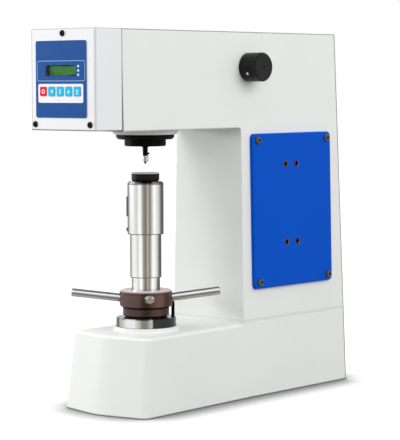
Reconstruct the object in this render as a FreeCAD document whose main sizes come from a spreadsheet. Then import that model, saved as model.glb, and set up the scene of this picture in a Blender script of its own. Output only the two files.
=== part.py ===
import FreeCAD, Part
import math
import os
import Sketcher

# Bench hardness tester: a cast C-frame, a capstan with telescopic sleeves round an elevating
# screw, and a dead-weight lever inside the frame that presses the indenter down.
# Millimetres. +Z is up, -Y is the operator's side, +X carries the force knob and the side cover.
# The origin is on the screw axis, in the plane of the bench.

DRIVING = {
    # cast frame
    "arm_deep": 172.5,
    "top_half": 73.7,
    "flank_spread": 13.7,
    "column_deep": 279.4,
    "back_spread": 21.1,
    "seam_reach": 135.9,
    "throat": 169.0,
    "column_lean": 2.7,
    "base_top": 135.0,
    "prow_top": 107.5,
    "prow_spread": 20.5,
    "shoulder_top": 89.5,
    "shoulder_spread": 16.9,
    "prow_half_top": 90.9,
    "prow_half_spread": 6.4,
    "frame_wall": 12.0,
    "flank_wall": 9.0,
    "chamber_floor": 60.0,
    "roof_thick": 12.0,
    "deck_thick": 12.0,
    "rim_wide": 11.0,
    # capstan stack on the base
    "base_boss": 7.5,
    "ring_radius": 52.8,
    "ring_thick": 16.0,
    "seal_gap": 2.6,
    "hub_radius": 46.4,
    "collar_radius": 40.7,
    "collar_tall": 13.6,
    "groove_tall": 2.5,
    "hub_tall": 28.8,
    "bar_radius": 7.2,
    "bar_reach": 132.0,
    "bar_rise": 11.3,
    "screw_radius": 19.0,
    "screw_length": 286.0,
    "screw_drop": 80.0,
    # telescopic sleeves
    "upper_radius": 31.9,
    "middle_radius": 27.7,
    "lower_radius": 25.05,
    "lower_show": 22.3,
    "middle_show": 76.2,
    "upper_long": 92.5,
    "anvil_radius": 24.6,
    "anvil_thick": 15.5,
    # nose and spindle
    "work_gap": 14.5,
    "nose_boss": 8.2,
    "flange_radius": 51.0,
    "flange_thick": 8.5,
    "nose_radius": 36.4,
    "nose_thick": 12.0,
    "guide_radius": 24.0,
    "spindle_radius": 12.5,
    "shank_radius": 4.5,
    "shank_long": 16.4,
    "indenter_radius": 5.7,
    "indenter_long": 12.8,
    "tip_long": 2.6,
    # front cover and panel
    "cover_lip": 2.6,
    "cover_deep": 64.0,
    "cover_step": 1.9,
    "cover_wall": 2.5,
    "panel_edge_left": 12.8,
    "panel_edge_right": 19.1,
    "panel_edge_low": 21.5,
    "panel_edge_high": 20.2,
    "panel_thick": 1.0,
    "key_side": 15.2,
    "key_pitch": 20.1,
    "key_in": 18.6,
    "key_up": 44.1,
    "window_wide": 71.0,
    "window_tall": 18.2,
    "window_in": 59.9,
    "window_up": 34.7,
    "lamp_out": 5.9,
    "lamp_pitch": 7.2,
    # side cover, force knob, rear cover
    "side_cover_wide": 229.4,
    "side_cover_tall": 281.2,
    "side_cover_thick": 7.2,
    "side_cover_in": 138.0,
    "side_cover_z": 336.2,
    "knob_radius": 25.9,
    "knob_long": 38.0,
    "knob_in": 21.4,
    "knob_down": 63.4,
    "shaft_radius": 7.0,
    "cam_lift": 12.0,
    "rear_edge_side": 2.7,
    "rear_edge_low": 53.0,
    "rear_edge_high": 11.0,
    "rear_thick": 2.5,
    "inlet_up": 98.0,
    "inlet_side": 48.0,
    # load train
    "lever_up": 78.5,
    "fulcrum_back": 20.0,
    "pin_radius": 6.0,
    "lever_tall": 24.0,
    "lever_half": 13.0,
    "hanger_in": 131.0,
    "hanger_rod": 6.0,
    "motor_in": 229.0,
    "stack_foot": 251.0,
    "stack_drop": 12.4,
    "weight_radius": 58.0,
    "weight_thick": 34.0,
    "weight_gap": 6.0,
    # clearances
    "running_fit": 0.05,
    "sleeve_gap": 0.3,
    "panel_gap": 0.3,
}

DOC = FreeCAD.newDocument("HardnessTester")
SHEET = DOC.addObject("Spreadsheet::Sheet", "Sizes")
PIECES = []


class Size:
    """A dimension that carries its value and the sheet expression that gives it."""

    def __init__(self, value, text):
        self.value = float(value)
        self.text = text

    def __add__(self, other):
        return Size(self.value + number(other), "(%s + %s)" % (self.text, wording(other)))

    def __radd__(self, other):
        return self + other

    def __sub__(self, other):
        return Size(self.value - number(other), "(%s - %s)" % (self.text, wording(other)))

    def __rsub__(self, other):
        return Size(number(other) - self.value, "(%s - %s)" % (wording(other), self.text))

    def __mul__(self, other):
        return Size(self.value * number(other), "(%s * %s)" % (self.text, wording(other)))

    def __rmul__(self, other):
        return self * other

    def __truediv__(self, other):
        return Size(self.value / number(other), "(%s / %s)" % (self.text, wording(other)))

    def __rtruediv__(self, other):
        return Size(number(other) / self.value, "(%s / %s)" % (wording(other), self.text))

    def __neg__(self):
        return Size(-self.value, "(0 - %s)" % self.text)


class Sheet:
    """The driving sizes by name, each one also a cell of the spreadsheet."""

    def __init__(self, table):
        self.rows = 0
        for alias, value in table.items():
            self.fill(alias, "%g" % value, value)

    def fill(self, alias, content, value):
        self.rows += 1
        SHEET.set("A%d" % self.rows, alias.replace("_", " "))
        SHEET.set("B%d" % self.rows, content)
        SHEET.setAlias("B%d" % self.rows, alias)
        setattr(self, alias, Size(value, "Sizes." + alias))

    def derive(self, alias, size):
        """Adds a cell that is worked out from the others."""
        self.fill(alias, "=" + size.text.replace("Sizes.", ""), size.value)


def number(value):
    return value.value if isinstance(value, Size) else float(value)


def wording(value):
    return value.text if isinstance(value, Size) else "%.6g" % value


def bind(item, name, value):
    """Sets a property and, for a Size, ties it to the sheet."""
    if isinstance(value, Size):
        item.setExpression(name, value.text)


# ------------------------------------------------------------------ building blocks
def new_body(label, at=(0, 0, 0), turn=None, many=False):
    body = DOC.addObject("PartDesign::Body", label)
    body.Label = label
    body.AllowCompound = many
    spot = FreeCAD.Vector(*[number(value) for value in at])
    body.Placement = FreeCAD.Placement(spot, turn or FreeCAD.Rotation())
    for axis, value in zip("xyz", at):
        bind(body, "Placement.Base." + axis, value)
    PIECES.append(body)
    return body


def new_sketch(body, role="XY_Plane", lift=0):
    plane = [item for item in body.Origin.OriginFeatures if item.Role == role][0]
    drawing = body.newObject("Sketcher::SketchObject", "Sketch")
    drawing.AttachmentSupport = [(plane, "")]
    drawing.MapMode = "FlatFace"
    drawing.AttachmentOffset = FreeCAD.Placement(
        FreeCAD.Vector(0, 0, number(lift)), FreeCAD.Rotation())
    bind(drawing, "AttachmentOffset.Base.z", lift)
    return drawing


def fix_point(drawing, curve, end, x, y):
    """Dimensions one point of a curve from the sketch's own axes."""
    for kind, value, axis in (("DistanceX", x, -2), ("DistanceY", y, -1)):
        if not isinstance(value, Size) and value == 0:
            drawing.addConstraint(Sketcher.Constraint("PointOnObject", curve, end, axis))
            continue
        row = drawing.addConstraint(
            Sketcher.Constraint(kind, -1, 1, curve, end, number(value)))
        bind(drawing, "Constraints[%d]" % row, value)


def draw_polygon(drawing, points):
    first = drawing.GeometryCount
    count = len(points)
    spots = [FreeCAD.Vector(number(x), number(y), 0) for x, y in points]
    lines = [Part.LineSegment(spots[i], spots[(i + 1) % count]) for i in range(count)]
    drawing.addGeometry(lines, False)
    for i in range(count):
        following = first + (i + 1) % count
        drawing.addConstraint(Sketcher.Constraint("Coincident", first + i, 2, following, 1))
    for i, (x, y) in enumerate(points):
        fix_point(drawing, first + i, 1, x, y)


def draw_rectangle(drawing, left, low, right, high):
    draw_polygon(drawing, [(left, low), (right, low), (right, high), (left, high)])


def draw_circle(drawing, radius, x=0, y=0):
    centre = FreeCAD.Vector(number(x), number(y), 0)
    round_line = Part.Circle(centre, FreeCAD.Vector(0, 0, 1), number(radius))
    curve = drawing.addGeometry(round_line, False)
    fix_point(drawing, curve, 3, x, y)
    row = drawing.addConstraint(Sketcher.Constraint("Radius", curve, number(radius)))
    bind(drawing, "Constraints[%d]" % row, radius)


def draw_hexagon(drawing, corner, x=0, y=0):
    corners = []
    for step in range(6):
        turn = math.radians(60 * step)
        corners.append((x + corner * math.cos(turn), y + corner * math.sin(turn)))
    draw_polygon(drawing, corners)


def pad(body, drawing, length, both_ways=False, backwards=False):
    feature = body.newObject("PartDesign::Pad", "Pad")
    feature.Profile = drawing
    feature.Length = number(length)
    feature.SideType = "Symmetric" if both_ways else "One side"
    feature.Reversed = backwards
    bind(feature, "Length", length)
    DOC.recompute()
    return feature


def cut(body, drawing, depth, both_ways=False, backwards=False):
    """A pocket that has to take material away."""
    before = body.Shape.Volume
    feature = body.newObject("PartDesign::Pocket", "Pocket")
    feature.Profile = drawing
    feature.Length = number(depth)
    feature.SideType = "Symmetric" if both_ways else "One side"
    feature.Reversed = backwards
    bind(feature, "Length", depth)
    DOC.recompute()
    if body.Shape.Volume > before - 0.5:
        raise RuntimeError("a pocket of %s cuts nothing" % body.Label)
    return feature


def spin(body, drawing, kind="Revolution"):
    """Turns a profile round the sketch's vertical axis."""
    feature = body.newObject("PartDesign::" + kind, kind)
    feature.Profile = drawing
    feature.ReferenceAxis = (drawing, ["V_Axis"])
    feature.Angle = 360
    DOC.recompute()
    return feature


def soften(body, amount, test, kind="Fillet"):
    """Rounds or bevels the edges of the body that pass the test."""
    base = body.Tip
    chosen = []
    for index, edge in enumerate(base.Shape.Edges, start=1):
        if test(edge):
            chosen.append("Edge%d" % index)
    if not chosen:
        raise RuntimeError("no edge to soften on %s" % body.Label)
    feature = body.newObject("PartDesign::" + kind, kind)
    feature.Base = (base, chosen)
    dimension = "Radius" if kind == "Fillet" else "Size"
    setattr(feature, dimension, number(amount))
    bind(feature, dimension, amount)
    DOC.recompute()
    if "Invalid" in feature.State:
        raise RuntimeError("%s of %s fails on %s" % (kind, body.Label, chosen))
    return feature


def spans(edge, **limits):
    """True when the edge's box has the given limits, such as ZMin=0."""
    box = edge.BoundBox
    return all(abs(getattr(box, name) - number(value)) < 0.02 for name, value in limits.items())


def turned(label, profile, at=(0, 0, 0), turn=None):
    """A lathe piece from (radius, height) points."""
    body = new_body(label, at, turn)
    drawing = new_sketch(body, "XZ_Plane")
    draw_polygon(drawing, profile)
    spin(body, drawing)
    return body


def tube(label, outer, inner, low, high, bevel=0.0):
    """A plain sleeve or ring about the screw axis, with bevelled rims where asked."""
    if bevel:
        profile = [(inner, low), (outer - bevel / 2, low), (outer, low + bevel / 2),
                   (outer, high - bevel), (outer - bevel, high), (inner, high)]
    else:
        profile = [(inner, low), (outer, low), (outer, high), (inner, high)]
    return turned(label, profile)


def plate(label, left, low, right, high, thick, at, turn, corner=0.0, many=False):
    """A flat plate in its own frame: x across, y up, thickness outwards from zero."""
    body = new_body(label, at, turn, many)
    drawing = new_sketch(body)
    draw_rectangle(drawing, left, low, right, high)
    pad(body, drawing, thick)
    if number(corner):
        soften(body, corner, lambda edge: spans(edge, ZMin=0, ZMax=thick))
    return body


def drill(body, radius, spots, depth, lift=0, backwards=False):
    """Round holes at the given places, from the given level downwards."""
    drawing = new_sketch(body, lift=lift)
    for x, y in spots:
        draw_circle(drawing, radius, x, y)
    return cut(body, drawing, depth, backwards=backwards)


def bore(body, radius, low, high, origin, turn, spots=((0, 0),)):
    """Round holes along the z axis of a turned frame, from one depth to another."""
    frame = FreeCAD.Placement(FreeCAD.Vector(*[number(value) for value in origin]), turn)
    for x, y in spots:
        hole = body.newObject("PartDesign::SubtractiveCylinder", "Hole")
        hole.Radius = number(radius)
        hole.Height = number(high - low)
        hole.Placement = frame.multiply(FreeCAD.Placement(
            FreeCAD.Vector(number(x), number(y), number(low)), FreeCAD.Rotation()))
    DOC.recompute()


def cap_screws(label, spots, head, rise, shank, length, at, turn, lift=0):
    """Button-head socket screws, head outwards, all with their heads seated at one level."""
    body = new_body(label, at, turn, many=True)
    stems = new_sketch(body, lift=lift)
    for x, y in spots:
        draw_circle(stems, shank, x, y)
    pad(body, stems, length, backwards=True)
    heads = new_sketch(body, lift=lift)
    for x, y in spots:
        draw_circle(heads, head, x, y)
    pad(body, heads, rise)
    top = lift + rise
    soften(body, rise * 0.55, lambda edge: spans(edge, ZMin=top, ZMax=top))
    sockets = new_sketch(body, lift=top)
    for x, y in spots:
        draw_hexagon(sockets, head * 0.42, x, y)
    cut(body, sockets, rise * 0.7)
    return body


def box_piece(label, left, front, low, wide, deep, tall):
    """A rectangular block placed by its lower front left corner."""
    body = new_body(label, (left, front, low))
    drawing = new_sketch(body)
    draw_rectangle(drawing, 0, 0, wide, deep)
    pad(body, drawing, tall)
    return body


# ------------------------------------------------------------------ levels shared by pieces
S = Sheet(DRIVING)
DOC.recompute()
CAP_THICK = 6
ROCKER_TILT = 7

# the capstan stack, upwards from the foot
BOSS_TOP = S.base_top + S.base_boss
RING_TOP = BOSS_TOP + S.ring_thick
HUB_FOOT = RING_TOP + S.seal_gap
GROOVE_FOOT = HUB_FOOT + S.collar_tall
HUB_FLANK = GROOVE_FOOT + S.groove_tall
S.derive("hub_top", HUB_FLANK + S.hub_tall)
HUB_TOP = S.hub_top
MIDDLE_FOOT = HUB_TOP + S.lower_show
UPPER_FOOT = MIDDLE_FOOT + S.middle_show
S.derive("upper_top", UPPER_FOOT + S.upper_long)
UPPER_TOP = S.upper_top
ANVIL_TOP = UPPER_TOP + S.anvil_thick
SCREW_TOP = UPPER_TOP - CAP_THICK
SCREW_FOOT = SCREW_TOP - S.screw_length

# the nose over the anvil, and the arm that carries it
S.derive("tip_point", ANVIL_TOP + S.work_gap)
TIP_POINT = S.tip_point
INDENTER_FOOT = TIP_POINT + S.tip_long
SHANK_FOOT = INDENTER_FOOT + S.indenter_long
COLLAR_FOOT = SHANK_FOOT + S.shank_long
FLANGE_FOOT = COLLAR_FOOT + S.nose_thick
NOSE_FACE = FLANGE_FOOT + S.flange_thick
S.derive("arm_under", NOSE_FACE + S.nose_boss)
S.derive("height", S.arm_under + S.arm_deep)
ARM_FLOOR = S.arm_under + S.frame_wall
S.derive("foot_half", S.top_half + S.flank_spread)
S.derive("back_top", S.throat + S.column_deep)
S.derive("back_foot", S.back_top + S.back_spread)
INNER_FACE = S.throat + S.frame_wall
ROOF = S.height - S.roof_thick

# the head's cover and panel
S.derive("cover_half", S.top_half + S.cover_lip)
S.derive("cover_foot", S.arm_under + S.cover_step)
S.derive("panel_left", S.panel_edge_left - S.cover_half)
S.derive("panel_right", S.cover_half - S.panel_edge_right)
S.derive("panel_foot", S.cover_foot + S.panel_edge_low)
S.derive("panel_head", S.height - S.panel_edge_high)
S.derive("key_level", S.panel_foot + S.key_up)
S.derive("key_first", S.panel_left + S.key_in)
S.derive("window_mid", S.panel_left + S.window_in)
S.derive("window_level", S.key_level + S.window_up)
HEAD_FACE = -(S.seam_reach + S.cover_deep + 0.7)

# what the column carries
S.derive("side_cover_y", S.throat + S.side_cover_in)
S.derive("knob_y", S.throat + S.knob_in)
S.derive("knob_z", S.height - S.knob_down)
S.derive("lever_z", ARM_FLOOR + S.lever_up)
S.derive("hanger_y", S.throat + S.hanger_in)
S.derive("motor_y", S.throat + S.motor_in)
LEVER_FOOT = S.lever_z - S.lever_tall / 2
REST_TOP = S.stack_foot - S.stack_drop - 1.5
DOC.recompute()
SIDE_LEAN = math.degrees(math.atan2(number(S.foot_half - S.top_half), number(S.height)))
BACK_LEAN = math.degrees(math.atan2(number(S.back_foot - S.back_top), number(S.height)))

# frames of the leaning side face (+X) and the leaning back face (+Y)
ON_SIDE = FreeCAD.Rotation(FreeCAD.Vector(0, 1, 0), -SIDE_LEAN).multiply(
    FreeCAD.Rotation(FreeCAD.Vector(1, 1, 1), 120))
ON_BACK = FreeCAD.Rotation(FreeCAD.Vector(1, 0, 0), BACK_LEAN).multiply(
    FreeCAD.Rotation(FreeCAD.Vector(0, 1, 1), 180))
ON_FRONT = FreeCAD.Rotation(FreeCAD.Vector(1, 0, 0), 90)
TO_RIGHT = FreeCAD.Rotation(FreeCAD.Vector(0, 1, 0), 90)


def side_half(level):
    """Half width of the drafted frame at a height."""
    return S.top_half + (S.foot_half - S.top_half) * (S.height - level) / S.height


def back_at(level):
    """Depth of the leaning back face at a height."""
    return S.back_top + (S.back_foot - S.back_top) * (S.height - level) / S.height


def chamber_half(level):
    """Half width of the hollow between the drafted flanks at a height."""
    return side_half(level) - S.flank_wall


def side_cover_spots():
    """Cover screws near the corners, in the cover's own frame."""
    across, up = S.side_cover_wide / 2 - 14, S.side_cover_tall / 2 - 12
    return [(x, z) for x in (-across, across) for z in (-up, up)]


def rear_cover_half():
    """Half width and half height of the rear cover."""
    return (S.top_half - S.rear_edge_side,
            (S.height - S.rear_edge_high - S.rear_edge_low) / 2)


def rear_cover_spots():
    half_wide, half_tall = rear_cover_half()
    across, up = half_wide - 5, half_tall - 8
    return [(x, z) for x in (-across, across) for z in (-up, 0, up)]


def side_origin():
    return (side_half(S.side_cover_z), S.side_cover_y, S.side_cover_z)


def rear_origin():
    middle = S.rear_edge_low + rear_cover_half()[1]
    return (0, back_at(middle), middle)


# ------------------------------------------------------------------ cast frame
def round_corner(drawing, first, corner, radius):
    """Rounds one corner of a polygon and keeps its dimensioned point."""
    before, after = first + corner - 1, first + corner
    lines = drawing.Geometry[before], drawing.Geometry[after]
    near = [lines[0].value(lines[0].LastParameter * 0.9),
            lines[1].value(lines[1].LastParameter * 0.1)]
    drawing.fillet(before, after, near[0], near[1], radius, True, True)


def foot_section(body, level, inset):
    """The plan of the prow-shaped foot at one level, drawn in by the inset."""
    drawing = new_sketch(body, lift=level)
    rise = level / S.base_top if isinstance(level, Size) else 0
    rear_half = side_half(level) - 0.5 - inset
    shoulder_half = S.prow_half_top + S.prow_half_spread * (1 - rise) - inset
    shoulder = S.shoulder_top + S.shoulder_spread * (1 - rise) - inset
    apex = S.prow_top + S.prow_spread * (1 - rise) - inset
    tuck = S.throat + 30
    draw_polygon(drawing, [(rear_half, tuck), (shoulder_half, -shoulder), (0, -apex),
                           (-shoulder_half, -shoulder), (-rear_half, tuck)])
    for corner, radius in ((1, 12), (2, 90), (3, 12)):
        round_corner(drawing, 0, corner, radius)
    return drawing


def build_casting():
    body = new_body("body_casting")
    outline = new_sketch(body, "YZ_Plane")
    column_foot = S.throat - S.column_lean
    draw_polygon(outline, [
        (column_foot, 0), (S.back_foot, 0), (S.back_top, S.height), (-S.seam_reach, S.height),
        (-S.seam_reach, S.arm_under), (S.throat, S.arm_under)])
    pad(body, outline, S.foot_half * 2, both_ways=True)

    # moulding draft on both flanks
    block = body.Tip
    flanks = []
    for index, face in enumerate(block.Shape.Faces, start=1):
        if abs(face.normalAt(0, 0).x) > 0.99:
            flanks.append("Face%d" % index)
    draft = body.newObject("PartDesign::Draft", "Draft")
    draft.Base = (block, flanks)
    floor = [item for item in body.Origin.OriginFeatures if item.Role == "XY_Plane"][0]
    draft.NeutralPlane = (floor, [""])
    draft.Angle = SIDE_LEAN
    draft.setExpression("Angle", "atan((Sizes.foot_half - Sizes.top_half) / Sizes.height)")
    DOC.recompute()

    # prow-shaped foot under the throat, with a rounded rim round its deck
    levels = [(0, 0), (S.base_top - 4, 0), (S.base_top - 1.2, 1.2), (S.base_top, 4)]
    sections = [foot_section(body, level, inset) for level, inset in levels]
    prow = body.newObject("PartDesign::AdditiveLoft", "Loft")
    prow.Profile = sections[0]
    prow.Sections = sections[1:]
    prow.Ruled = True
    DOC.recompute()

    # soften the arm's lower edges, the throat corners and the top edges
    soften(body, 3, lambda edge: edge.BoundBox.YLength > 250
           and spans(edge, ZMin=S.arm_under, ZMax=S.arm_under))
    rim = number(S.base_top)
    soften(body, 6, lambda edge: edge.BoundBox.XLength > 100 and edge.BoundBox.YLength < 0.1
           and abs(edge.CenterOfMass.y - number(S.throat)) < 3.2
           and edge.CenterOfMass.z > rim - 1)
    top = number(S.height)
    soften(body, 2.5, lambda edge: abs(edge.BoundBox.ZMin - top) < 0.02 and (
        edge.BoundBox.YLength > 300 or edge.CenterOfMass.y > 300))

    # round boss under the arm and round seat for the polished ring
    boss = new_sketch(body, "XZ_Plane")
    draw_polygon(boss, [(0, NOSE_FACE), (S.flange_radius + 4, NOSE_FACE),
                        (S.flange_radius + 9.5, S.arm_under), (S.flange_radius + 9.5, ARM_FLOOR),
                        (0, ARM_FLOOR)])
    spin(body, boss)
    seat = new_sketch(body, "XZ_Plane")
    draw_polygon(seat, [(0, S.base_top - 4), (S.ring_radius + 4.5, S.base_top - 4),
                        (S.ring_radius + 4.5, S.base_top + 1), (S.ring_radius + 2.5, BOSS_TOP),
                        (0, BOSS_TOP)])
    spin(body, seat)

    # the load chamber follows the drafted walls, and is open to the front cover
    for floor_level, front, rear in (
            (S.chamber_floor, lambda level: INNER_FACE, lambda level: back_at(level) - 12),
            (ARM_FLOOR, lambda level: -S.seam_reach - 5, lambda level: INNER_FACE + 5)):
        sections = []
        for level in (floor_level, ROOF):
            section = new_sketch(body, lift=level)
            half = chamber_half(level)
            draw_rectangle(section, -half, front(level), half, rear(level))
            sections.append(section)
        core = body.newObject("PartDesign::SubtractiveLoft", "Core")
        core.Profile = sections[0]
        core.Sections = sections[1:]
        core.Ruled = True
        DOC.recompute()

    # openings behind the rear cover and behind the side cover, with their screw holes
    half_wide, half_tall = rear_cover_half()
    middle = S.rear_edge_low + half_tall
    rear_door = new_sketch(body, "XZ_Plane", lift=-(S.back_foot + 5))
    draw_rectangle(rear_door, S.rim_wide - half_wide, middle - half_tall + S.rim_wide + 8,
                   half_wide - S.rim_wide, middle + half_tall - S.rim_wide - 8)
    cut(body, rear_door, S.back_foot - S.back_top + 40, backwards=True)
    bore(body, 1.9, -7, 1, rear_origin(), ON_BACK, rear_cover_spots())
    opening = new_sketch(body, "YZ_Plane", lift=40)
    half_wide = S.side_cover_wide / 2 - 24
    half_tall = S.side_cover_tall / 2 - 24
    draw_rectangle(opening, S.side_cover_y - half_wide, S.side_cover_z - half_tall,
                   S.side_cover_y + half_wide, S.side_cover_z + half_tall)
    cut(body, opening, 60, backwards=True)
    bore(body, 3.9, -10, 1, side_origin(), ON_SIDE, side_cover_spots())

    # core pockets under the foot, the well for the screw and the cross ribs
    under = new_sketch(body)
    inside = S.prow_half_top - 12
    draw_polygon(under, [(inside - 2, S.throat - 14), (2 - inside, S.throat - 14),
                         (-inside, 20 - S.shoulder_top), (0, 22 - S.prow_top),
                         (inside, 20 - S.shoulder_top)])
    draw_circle(under, S.screw_radius + 12)
    cut(body, under, S.base_top - S.deck_thick, backwards=True)
    rear_under = new_sketch(body)
    draw_rectangle(rear_under, -chamber_half(0), INNER_FACE, chamber_half(0), S.back_top)
    cut(body, rear_under, S.chamber_floor - S.deck_thick, backwards=True)
    ribs = new_sketch(body, lift=4)
    draw_rectangle(ribs, -inside - 2, -4, inside + 2, 4)
    pad(body, ribs, S.base_top - 12)
    drill(body, S.screw_radius + 3.5, [(0, 0)], S.base_top, lift=BOSS_TOP)

    # keyseat beside the well, and bores for the spindle guide and the selector bush
    keyseat = new_sketch(body, lift=BOSS_TOP)
    draw_rectangle(keyseat, -3, -S.screw_radius - 6, 3, -S.screw_radius)
    cut(body, keyseat, 14)
    drill(body, S.guide_radius, [(0, 0)], 60, lift=ARM_FLOOR + 20)
    side_hole = new_sketch(body, "YZ_Plane", lift=40)
    draw_circle(side_hole, S.shaft_radius * 2, S.knob_y, S.knob_z)
    cut(body, side_hole, 60, backwards=True)


def build_front_cover():
    """Pressed front cover, its panel and the electronics behind it."""
    back = -(S.seam_reach + 0.7)
    body = new_body("front_cover", (0, back, 0))
    shell = new_sketch(body, "XZ_Plane")
    draw_rectangle(shell, -S.cover_half, S.cover_foot, S.cover_half, S.height)
    pad(body, shell, S.cover_deep)
    soften(body, 3, lambda edge: spans(edge, YMin=-S.cover_deep, YMax=-S.cover_deep)
           or spans(edge, YMin=-S.cover_deep, YMax=0, ZMin=S.height, ZMax=S.height))
    hollow = new_sketch(body, "XZ_Plane")
    wall = S.cover_wall
    draw_rectangle(hollow, wall - S.cover_half, S.cover_foot + wall,
                   S.cover_half - wall, S.height - wall)
    cut(body, hollow, S.cover_deep - wall, backwards=True)
    holes = new_sketch(body, "XZ_Plane")
    reach = S.key_side / 2 + S.panel_gap
    for centre in key_centres():
        draw_rectangle(holes, centre - reach, S.key_level - reach,
                       centre + reach, S.key_level + reach)
    draw_rectangle(holes, S.window_mid - S.window_wide / 2, S.window_level - S.window_tall / 2,
                   S.window_mid + S.window_wide / 2, S.window_level + S.window_tall / 2)
    for x, z in lamp_spots():
        draw_circle(holes, 1.9, x, z)
    for x, z in cover_screw_spots():
        draw_circle(holes, 3.3, x, z)
    cut(body, holes, S.cover_deep + 1, backwards=True)

    cap_screws("front_cover_screws", [(x, z) for x, z in cover_screw_spots()],
               5.4, 3.2, 2.9, 14, (0, HEAD_FACE, 0), ON_FRONT)
    posts = new_body("cover_posts", (0, back, 0), many=True)
    stems = new_sketch(posts, "XZ_Plane", lift=-0.7)
    for x, z in cover_screw_spots():
        draw_circle(stems, 5, x, z)
    pad(posts, stems, S.cover_deep - S.cover_wall + 0.7)
    taps = new_sketch(posts, "XZ_Plane", lift=S.cover_deep - S.cover_wall - 16)
    for x, z in cover_screw_spots():
        draw_circle(taps, 2.9, x, z)
    cut(posts, taps, 30, backwards=True)


def key_centres():
    return [S.key_first + S.key_pitch * index for index in range(5)]


def lamp_spots():
    across = S.window_mid + S.window_wide / 2 + S.lamp_out
    return [(across, S.window_level + S.lamp_pitch * place) for place in (1, 0, -1)]


def cover_screw_spots():
    across, low = S.cover_half - 10.3, S.cover_foot + 10.4
    return [(0, S.height - 8.2), (-across, low), (across - 2.4, low)]


def build_panel():
    """Printed membrane plate with window, lamps and keys, and the board that carries them."""
    level = (0, HEAD_FACE, 0)
    body = new_body("membrane_panel", level)
    face = new_sketch(body, "XZ_Plane")
    draw_rectangle(face, S.panel_left, S.panel_foot, S.panel_right, S.panel_head)
    pad(body, face, S.panel_thick)
    soften(body, 3, lambda edge: spans(edge, YMin=-S.panel_thick, YMax=0))
    holes = new_sketch(body, "XZ_Plane")
    reach = S.key_side / 2 + S.panel_gap
    for centre in key_centres():
        draw_rectangle(holes, centre - reach, S.key_level - reach,
                       centre + reach, S.key_level + reach)
    draw_rectangle(holes, S.window_mid - S.window_wide / 2, S.window_level - S.window_tall / 2,
                   S.window_mid + S.window_wide / 2, S.window_level + S.window_tall / 2)
    for x, z in lamp_spots():
        draw_circle(holes, 1.9, x, z)
    cut(body, holes, S.panel_thick + 1, backwards=True)

    window = new_body("display_window", level)
    pane = new_sketch(window, "XZ_Plane", lift=-1.5)
    half, tall = S.window_wide / 2 - 0.1, S.window_tall / 2 - 0.1
    draw_rectangle(pane, S.window_mid - half, S.window_level - tall,
                   S.window_mid + half, S.window_level + tall)
    pad(window, pane, 2.2)

    inner = S.cover_wall + 0.2
    names = ["start_key", "menu_key", "scale_key", "up_key", "down_key"]
    for name, centre in zip(names, key_centres()):
        key = new_body(name, (centre, HEAD_FACE, S.key_level))
        cap = new_sketch(key, "XZ_Plane", lift=-(S.cover_wall + 0.2))
        side = S.key_side / 2
        draw_rectangle(cap, -side, -side, side, side)
        pad(key, cap, S.cover_wall + 0.2 + S.panel_thick + 0.8)
        soften(key, 1.2, lambda edge: edge.BoundBox.YLength > 3)
        flange = new_sketch(key, "XZ_Plane", lift=-(S.cover_wall + 1.4))
        draw_rectangle(flange, -side - 1.2, -side - 1.2, side + 1.2, side + 1.2)
        pad(key, flange, 1.2)

    board_face = S.cover_wall + 12
    board = new_body("control_board", level)
    sheet = new_sketch(board, "XZ_Plane", lift=-(board_face + 1.6))
    draw_rectangle(sheet, S.panel_left + 3, S.panel_foot + 6, S.panel_right - 2, S.panel_head - 6)
    pad(board, sheet, 1.6)
    standoffs = new_sketch(board, "XZ_Plane", lift=-board_face)
    corners = [(x, z) for x in (S.panel_left + 8, S.panel_right - 7)
               for z in (S.panel_foot + 11, S.panel_head - 11)]
    for x, z in corners:
        draw_circle(standoffs, 3, x, z)
    pad(board, standoffs, board_face - S.cover_wall)

    switches = new_body("key_switches", level, many=True)
    bases = new_sketch(switches, "XZ_Plane", lift=-board_face)
    for centre in key_centres():
        draw_rectangle(bases, centre - 3, S.key_level - 3, centre + 3, S.key_level + 3)
    pad(switches, bases, 6)
    plungers = new_sketch(switches, "XZ_Plane", lift=6 - board_face)
    for centre in key_centres():
        draw_circle(plungers, 1.7, centre, S.key_level)
    pad(switches, plungers, board_face - 6 - S.cover_wall - 1.4 - 0.9)

    display = new_body("display_module", level)
    frame = new_sketch(display, "XZ_Plane", lift=-board_face)
    draw_rectangle(frame, S.window_mid - S.window_wide / 2 - 2, S.window_level - 12,
                   S.window_mid + S.window_wide / 2 - 1, S.window_level + 12)
    pad(display, frame, board_face - inner)
    soften(display, 0.8, lambda edge: spans(edge, YMin=inner, YMax=inner), "Chamfer")

    lamps = new_body("led_lamps", level, many=True)
    stems = new_sketch(lamps, "XZ_Plane", lift=-board_face)
    for x, z in lamp_spots():
        draw_circle(stems, 1.6, x, z)
    pad(lamps, stems, board_face + S.panel_thick + 0.6)
    soften(lamps, 0.8, lambda edge: spans(edge, YMin=-(S.panel_thick + 0.6),
                                          YMax=-(S.panel_thick + 0.6)))


def build_side_cover():
    """Blue inspection cover on the leaning flank, with its screws and accessory holes."""
    origin = side_origin()
    half_wide, half_tall = S.side_cover_wide / 2, S.side_cover_tall / 2
    thick = S.side_cover_thick
    body = plate("side_cover", -half_wide, -half_tall, half_wide, half_tall, thick,
                 origin, ON_SIDE, corner=9)
    soften(body, 2.6, lambda edge: spans(edge, ZMin=thick, ZMax=thick))
    screws = side_cover_spots()
    drill(body, 4.3, screws, thick + 1, lift=thick)
    spots = [(x, z) for x in (-20.7, 10.5) for z in (-60, 83.6)]
    drill(body, 4.5, spots, thick + 1, lift=thick)
    soften(body, 0.8, lambda edge: spans(edge, ZMin=thick, ZMax=thick)
           and abs(edge.BoundBox.XLength - 9) < 0.1, "Chamfer")
    cap_screws("side_cover_screws", screws, 7.2, 5.2, 3.9, 14, origin, ON_SIDE, lift=thick)


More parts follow.
